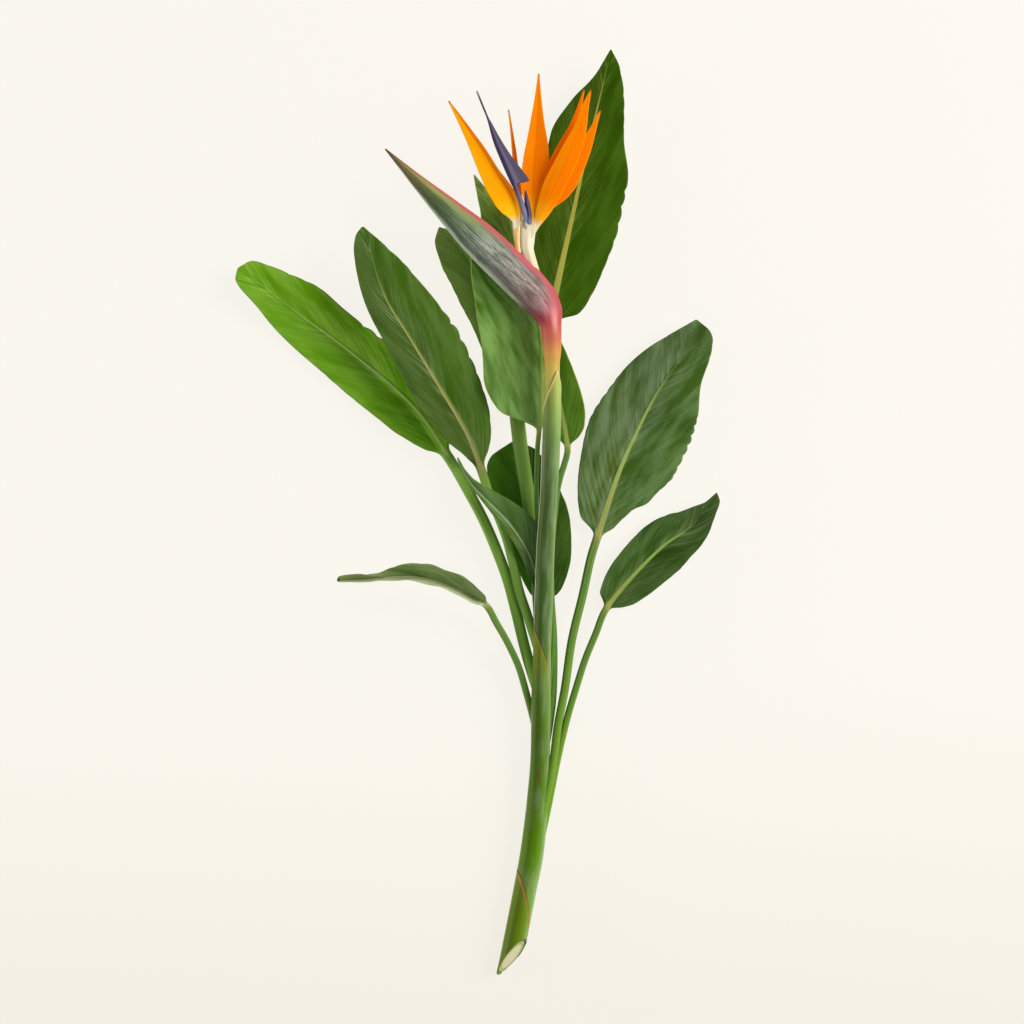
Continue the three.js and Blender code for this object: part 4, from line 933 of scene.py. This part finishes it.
def add_stalk():
    angle = 180 - 360 * (np.arange(STALK_COLUMNS) + 0.5) / STALK_COLUMNS
    start = cut_distance(angle, -SHEATH_BUILD_UP)
    t = np.linspace(0, 1, STALK_ROWS)[:, None] ** ROW_CROWDING
    distance = lerp(start[None, :], NECK_DISTANCE, t)
    angles = np.broadcast_to(angle, distance.shape)
    body = stem_point(distance, angles, -SHEATH_BUILD_UP)
    rim = body[0]
    middle = rim.mean(0)
    ring = np.array(CUT_RINGS)[:, None]
    cut = lerp(middle, rim, ring[..., None])
    pith = PITH_RELIEF * wander(ring * PITH_WAVE + angle / PITH_SWIRL, PITH_SEED)
    cut = cut + unit(np.array(CUT_NORMAL)) * (pith - PITH_SINK)[..., None] * ring[..., None]
    rings = on_table(np.concatenate([cut, body]))
    ring = np.concatenate([ring, np.full((STALK_ROWS, 1), STALK_RING)])
    distances = np.concatenate([np.broadcast_to(start, cut.shape[:2]), distance])
    marks = {"stem": stacked(distances, angle[None, :], ring)}
    skin("stalk", stem_material("stalk", STALK_LOOK), rings, marks)


def rim_distance(sheath, angle):
    turn = np.abs(angle - sheath["tip_angle"])
    shortest = np.minimum(turn, 360 - turn)
    return sheath["tip_distance"] - sheath["slope"] * shortest ** sheath["power"]


def add_sheath(sheath, below):
    angle = np.linspace(SHEATH_LAST_ANGLE, SHEATH_FIRST_ANGLE, SHEATH_COLUMNS)
    rim = rim_distance(sheath, angle)
    row = np.linspace(0, 1, SHEATH_ROWS)[:, None]

    def face(offset):
        cut = cut_distance(angle, offset)
        mouth = rim_distance(below, angle) if below else None
        foot = np.maximum(cut, mouth - SHEATH_TUCK) if below else cut
        distance = lerp(foot[None, :], rim[None, :], row)
        tucked = smooth(distance, mouth + TUCK_REACH, mouth - TUCK_REACH) if below else 0
        flare = RIM_FLARE * smooth(distance, rim - RIM_LENGTH, rim)
        thin = RIM_THINNING * smooth(distance, rim - RIM_LENGTH, rim) if offset < 0 else 0
        lift = offset + flare + thin - SHEATH_TUCK_DEPTH * tucked
        angles = np.broadcast_to(angle, distance.shape)
        return stem_point(distance, angles, lift), stacked(distance, angles, rim - distance)

    outside, outer_marks = face(0)
    inside, inner_marks = face(-SHEATH_THICKNESS)
    rings = on_table(two_faced(outside, inside))
    name = sheath["name"]
    material = stem_material(name, SHEATH_LOOKS[name])
    skin(name, material, rings, {"stem": two_faced(outer_marks, inner_marks)})


def stem_material(name, look):
    s = Shader(f"{name}_surface")
    distance, angle, rim = s.marks("stem")
    fibre = s.noise(angle * 0.09, distance * 0.012, 0.0, detail=3.0, roughness=0.6)
    fleck = s.noise(angle * 0.25, distance * 0.1, 6.0)
    cloud = s.noise(angle * 0.02, distance * 0.03, 3.0)
    s.color = s.ramp(distance, *look["along"])
    s.paint(cloud.step(0.45, 0.7) * look["bloom"], "#9aa88f")
    # Painted light and shade round the stem, by angle (0 right, 90 up): a paler colour and more brightness
    # towards the right side, darker to the left of the top, and a painted highlight along the left edge.
    s.paint(angle.step(70, 15) * 0.3, "#b4c890")
    painted_round_shading = 1 - angle.bump(122, 60) * 0.45 + angle.step(75, 15) * 0.1 + angle.step(160, 175) * 0.3
    s.dim((fibre * 0.45 + fleck * 0.15 + 0.7) * painted_round_shading)
    for middle, reach, low, high, tint, strength in look["streaks"]:
        mask = angle.bump(middle, reach) * distance.step(low, low + 12) * distance.step(high, high - 12)
        s.paint(mask * strength * (fibre * 0.8 + 0.6), tint)
    if look["rim"]:
        inner, outer = look["rim"]
        s.paint(rim.step(look["rim_width"] * 3, look["rim_width"] * 0.6) * 0.8, inner)
        s.paint(rim.step(look["rim_width"], look["rim_width"] * 0.3), outer)
    else:
        pith = s.ramp(
            rim, (0.0, "#d9d5ae"), (0.7, "#d3d0a4"), (0.84, "#8f9658"), (0.88, "#cfcb9a"), (0.97, "#77803f"),
            (1.0, "#59602b"),
        )
        mottle = s.noise(angle * 0.06, rim * 14, 2.0, detail=5.0, roughness=0.7)
        pith = s.mix(mottle.step(0.5, 0.64) * 0.5, pith, "#8f9a62")
        s.paint(rim.step(1.5, 1.2), s.shade(pith, mottle * 0.5 + 0.78))
    return s.finish(0.34 + fleck * 0.16, fibre, 0.3, 0.35, LEAF_TINT)


# -------------------- spathe

SPATHE_ROWS = 260
SPATHE_COLUMNS = 96

neck_centre = stem_path.read(stem_path.points, (NECK_DISTANCE + CLEARANCE) / stem_path.length)
spathe_path = Path((tuple(neck_centre), *SPATHE_PATH))


def add_spathe():
    share = np.linspace(0, 1, SPATHE_ROWS)[:, None]
    keel = smooth(share, *KEEL_SHARES)
    angle = np.pi * 2 * (np.arange(SPATHE_COLUMNS) + 0.5) / SPATHE_COLUMNS
    across = -np.cos(angle)[None, :]
    height = profile(SPATHE_HALF_HEIGHT, share)
    thickness = profile(SPATHE_HALF_THICKNESS, share)
    slit = SLIT_DEPTH * smooth(share, *SLIT_OPENING) * smooth((1 - share) / SLIT_FADE)
    narrow = 1 - KEEL_NARROWING * keel * np.clip(-across, 0, 1) ** 2
    drawn_in = slit * np.clip((across - 1) / SLIT_HALF_WIDTH + 1, 0, 1)
    front = np.sin(angle)[None, :]
    rings = placed(spathe_path.frames(share[:, 0]), across * height - drawn_in, front * thickness * narrow)
    marks = {"beak": stacked(share, across, front)}
    skin("spathe", spathe_material(), rings, marks)


def spathe_material():
    s = Shader("spathe_surface")
    share, across, front = s.marks("beak")
    streak = s.noise(share * 15, across * 8, front * 2, detail=6.0, roughness=0.72)
    scratch = s.noise(share * 34, across * 26, front * 4, detail=3.0, roughness=0.7)
    cloud = s.noise(share * 14, across * 2.5, front + 5, detail=3.0)
    height = across + cloud * 0.35 - 0.175

    middle = s.ramp(
        share, (0.28, "#7a4a50"), (0.38, "#6c5853"), (0.5, "#5e6457"), (0.62, "#50634a"), (0.75, "#3c5628"),
        (0.92, "#6a5a2c"), (1.0, "#4a2c1c"),
    )
    bloom = s.ramp(
        share, (0.28, "#c48f90"), (0.4, "#b8ada4"), (0.6, "#b0bbac"), (0.72, "#8b9c76"), (1.0, "#8a7a4a"),
    )
    grey = share.step(0.8, 0.55) * 0.75 + 0.25
    s.color = s.mix(streak.step(0.38, 0.62) * height.bump(0.05, 1.05) * grey, middle, bloom)
    # Painted shade: the lower side is darkened.
    s.dim(1 - height.step(-0.1, -0.6) * 0.2)
    s.paint(scratch.step(0.58, 0.7) * share.step(0.95, 0.7) * 0.7, "#3c423a")
    green = s.ramp(
        share, (0.3, "#9a8a70"), (0.6, "#8b9a66"), (0.8, "#94a352"), (0.92, "#8f8a48"), (1.0, "#5a3a22"),
    )
    s.paint(height.step(0.1, 0.5) * share.step(0.5, 0.7) * 0.85, green)
    pink = s.ramp(
        share, (0.3, "#c4505c"), (0.5, "#c05a60"), (0.8, "#b85a50"), (0.95, "#8a4a38"), (1.0, "#4a2c1c"),
    )
    s.paint(height.step(0.55, 0.85), pink)
    # Painted highlight: a pale line along the lower edge.
    pale = height.step(-0.75, -0.95) * share.step(0.32, 0.42)
    s.paint(pale * 0.8, "#b9c0b0")

    neck = s.ramp(
        share, (0.0, "#8fa244"), (0.1, "#b8a844"), (0.15, "#cc9240"), (0.2, "#c0603e"), (0.27, "#b43844"),
        (0.36, "#b0505a"),
    )
    bend = share + height.step(-0.2, 0.9) * -0.07
    s.paint(bend.step(0.31, 0.24), neck)
    # Painted shadow: dark red in the crease on the lower side of the bend, where the beak bulges over the
    # neck.
    crease = share.bump(0.275, 0.05) * across.bump(-0.62, 0.4)
    s.paint(crease * 0.75, "#7d2233")
    # Painted highlight: pale pink across the middle of the bend.
    crest = share.bump(0.26, 0.06) * across.bump(0.35, 0.4)
    s.paint(crest * 0.75, "#f0a09a")
    s.dim(streak * 0.25 + 0.88)
    return s.finish(0.38 + streak * 0.2, streak * 0.6 + scratch * 0.4, 0.3, 0.4, WHITE)


# -------------------- flowers

PETAL_ROWS = 150
PETAL_HALF_COLUMNS = 16
SEPAL_HALF_THICKNESS = 0.42
BLUE_HALF_THICKNESS = 0.6
PETAL_MARGIN_HALF_THICKNESS = 0.14
CREST_RADIUS = 0.5  # of the rounded fold along a petal's middle
FOOT_SINK = 2.2  # how far a petal's foot bends down into the tube
FOOT_SHARE = 0.12
TUBE_ROWS = 40
TUBE_COLUMNS = 60
TUBE_SWELL = 1.1  # so that the two tubes meet
TUBE_RIBS = 7
TUBE_RIB_SHARE = 0.04


def add_petal(name, petal, half_thickness, material):
    """A pointed blade folded along its middle, with margins that lie behind it by its sweep."""
    share = np.linspace(0, 1, PETAL_ROWS)[:, None]
    column = np.linspace(-1, 1, 2 * PETAL_HALF_COLUMNS + 1)[None, :]
    left = column < 0
    width = np.where(left, profile(petal["left"], share), profile(petal["right"], share))
    tilt = np.radians(np.where(left, petal["fold"][0], petal["fold"][1]))
    reach = np.abs(column) * width
    crest = np.sqrt(reach**2 + CREST_RADIUS**2) - CREST_RADIUS
    rise = crest * np.sin(tilt) - FOOT_SINK * smooth(share, FOOT_SHARE, 0)
    half = lerp(half_thickness, PETAL_MARGIN_HALF_THICKNESS, np.abs(column) ** 3)
    frames = Path(petal["path"]).frames(share[:, 0])
    along = np.cross(frames[2], frames[1])[:, None]
    behind = along * (petal.get("sweep", 0) * reach)[..., None]
    across = np.sign(column) * reach * np.cos(tilt)
    top = placed(frames, across, rise + half) - behind
    bottom = placed(frames, across, rise - half) - behind
    grain = stacked(share, column, width - reach)
    skin(name, material, two_faced(top, bottom), {"petal": two_faced(grain, grain)})


def add_tube(name, tube):
    share = np.linspace(0, 1, TUBE_ROWS)[:, None]
    angle = 2 * np.pi * (np.arange(TUBE_COLUMNS) + 0.5) / TUBE_COLUMNS
    ribs = TUBE_SWELL - TUBE_RIB_SHARE * (1 - np.cos(TUBE_RIBS * angle))
    half_width = profile(tube["half_width"], share) * ribs
    half_depth = profile(tube["half_depth"], share) * ribs
    frames = Path(tube["path"]).frames(share[:, 0])
    rings = placed(frames, -np.cos(angle) * half_width, np.sin(angle) * half_depth)
    marks = {"petal": stacked(share, np.sin(angle)[None, :], 0.0)}
    skin(name, tube_material(name, TUBE_STRIPES[name]), rings, marks)


def sepal_material(name, look):
    s = Shader(f"{name}_surface")
    share, across, margin = s.marks("petal")
    vein = s.noise(across * 9, share * 1.2, 0.0, detail=3.0, roughness=0.6)
    cloud = s.noise(across * 1.5, share * 4, 4.0)
    # Painted light and shade: the left half is painted lighter than the right where the look gives them
    # different colours.
    s.color = s.mix(across.step(-0.12, 0.12), look["left"], look["right"])
    s.paint(vein.step(0.5, 0.75) * 0.4 + cloud.step(0.5, 0.7) * 0.25, look["vein"])
    s.paint(across.bump(0.0, 0.1) * 0.4, look["crease"])
    s.paint(margin.step(0.9, 0.2) * 0.6, look["margin"])
    s.paint(share.step(0.3, 0.1), look["low"])
    s.paint(share.step(0.13, 0.05), "#f0e6c6")
    s.paint(share.step(0.97, 1.0), "#a2622a")
    s.dim(vein * 0.16 + 0.92)
    return s.finish(0.5 + vein * 0.12, vein, 0.15, 0.15, SEPAL_TINT)


def blue_material(name):
    s = Shader(f"{name}_surface")
    share, across, margin = s.marks("petal")
    vein = s.noise(across * 6, share * 3, 0.0, detail=4.0, roughness=0.6)
    s.color = s.mix(vein.step(0.35, 0.7), "#1e1736", "#43385e")
    # Painted highlight: a paler band along the blue arrow, right of its middle.
    s.paint(across.bump(0.2, 0.35) * 0.5, "#7a6a8e")
    s.paint(share.step(0.34, 0.05) * 0.75, "#8a92b4")
    s.paint(share.step(0.06, 0.0), "#e0dccb")
    s.paint(share.step(0.78, 0.84), "#4a3c48")
    s.paint(share.step(0.93, 0.99), "#a59a94")
    s.paint(margin.step(0.8, 0.2) * 0.6, "#1d1630")
    return s.finish(0.45 + vein * 0.15, vein, 0.2, 0.35, WHITE)


def tube_material(name, stripe):
    s = Shader(f"{name}_surface")
    share, across, _ = s.marks("petal")
    vein = s.noise(across * 5, share * 1.5, 0.0, detail=3.0)
    s.color = s.mix(vein.step(0.3, 0.7), "#ded0a8", "#e8dcc0")
    s.paint(share.step(0.5, 0.0) * 0.4, "#d0c096")
    s.paint(across.step(0.5, 0.95) * share.step(0.3, 0.5) * 0.8, stripe)
    return s.finish(0.45 + vein * 0.1, vein, 0.2, 0.3, WHITE)


# -------------------- stage

# In metres.
FLOOR_SIZE = 12.0
FLOOR_SHADE = (-0.45, -0.1)  # along Y, where the floor's painted shade, darker towards -Y, fades into its paler tone
CAMERA_HEIGHT = 3.413
CAMERA_X = 0.027
FOCAL_LENGTH = 150  # in mm, as is the sensor's width
SENSOR_WIDTH = 36


def add_floor():
    half = FLOOR_SIZE / 2
    mesh = bpy.data.meshes.new("floor")
    corners = [(-half, -half, 0), (half, -half, 0), (half, half, 0), (-half, half, 0)]
    mesh.from_pydata(corners, [], [(0, 1, 2, 3)])
    floor = linked("floor", mesh)
    s = Shader("floor_paper")
    split = s.node("ShaderNodeSeparateXYZ")
    s.tree.links.new(s.node("ShaderNodeNewGeometry").outputs["Position"], split.inputs[0])
    # Painted shade on the floor: its glow is darker towards -Y.
    falloff = Value(s, split.outputs["Y"]).step(*FLOOR_SHADE)
    paper = {
        "Base Color": (0.1, 0.095, 0.085, 1), "Roughness": 0.9, "Specular IOR Level": 0.0,
        "Emission Color": s.mix(falloff, (0.94, 0.9, 0.815, 1), (1.0, 0.974, 0.905, 1)),
        "Emission Strength": 0.865,
    }
    for socket, value in paper.items():
        s.put(s.surface[socket], value)
    mesh.materials.append(s.material)


def add_light(name, place, size, power, color):
    light = bpy.data.lights.new(name, "AREA")
    light.shape = "RECTANGLE"
    light.size, light.size_y = size
    light.energy = power
    light.color = color
    lamp = linked(name, light)
    lamp.location = place
    toward = -lamp.location
    lamp.rotation_euler = toward.to_track_quat("-Z", "Y").to_euler()


def add_camera():
    lens = bpy.data.cameras.new("camera")
    lens.lens = FOCAL_LENGTH
    lens.sensor_width = SENSOR_WIDTH
    lens.clip_end = 20
    camera = linked("camera", lens)
    camera.location = (CAMERA_X, 0, CAMERA_HEIGHT)
    bpy.context.scene.camera = camera


def light_stage():
    scene = bpy.context.scene
    scene.view_settings.view_transform = "Standard"
    scene.view_settings.look = "None"
    world = bpy.data.worlds.new("soft_room")
    world.use_nodes = True
    background = world.node_tree.nodes["Background"]
    background.inputs["Color"].default_value = (1.0, 0.985, 0.955, 1)
    background.inputs["Strength"].default_value = 0.4
    scene.world = world
    add_light("key", (2.4, 0.7, 1.7), (1.8, 1.8), 92, (1.0, 0.98, 0.94))
    add_light("rim", (-2.4, 0.2, 0.5), (2.0, 0.4), 30, (1.0, 0.99, 0.97))


# -------------------- the whole piece

for leaf_name, leaf in LEAVES.items():
    add_leaf(leaf_name, leaf)
add_stalk()
for sheath, below in zip(SHEATHS, (*SHEATHS[1:], None)):
    add_sheath(sheath, below)
add_spathe()
for tube_name, tube in TUBES.items():
    add_tube(tube_name, tube)
for sepal_name, sepal in SEPALS.items():
    sepal_look = {**SEPAL_LOOK, **SEPAL_LOOKS.get(sepal_name, {})}
    add_petal(sepal_name, sepal, SEPAL_HALF_THICKNESS, sepal_material(sepal_name, sepal_look))
for petal_name, petal in BLUE_PETALS.items():
    add_petal(petal_name, petal, BLUE_HALF_THICKNESS, blue_material(petal_name))
add_floor()
add_camera()
light_stage()
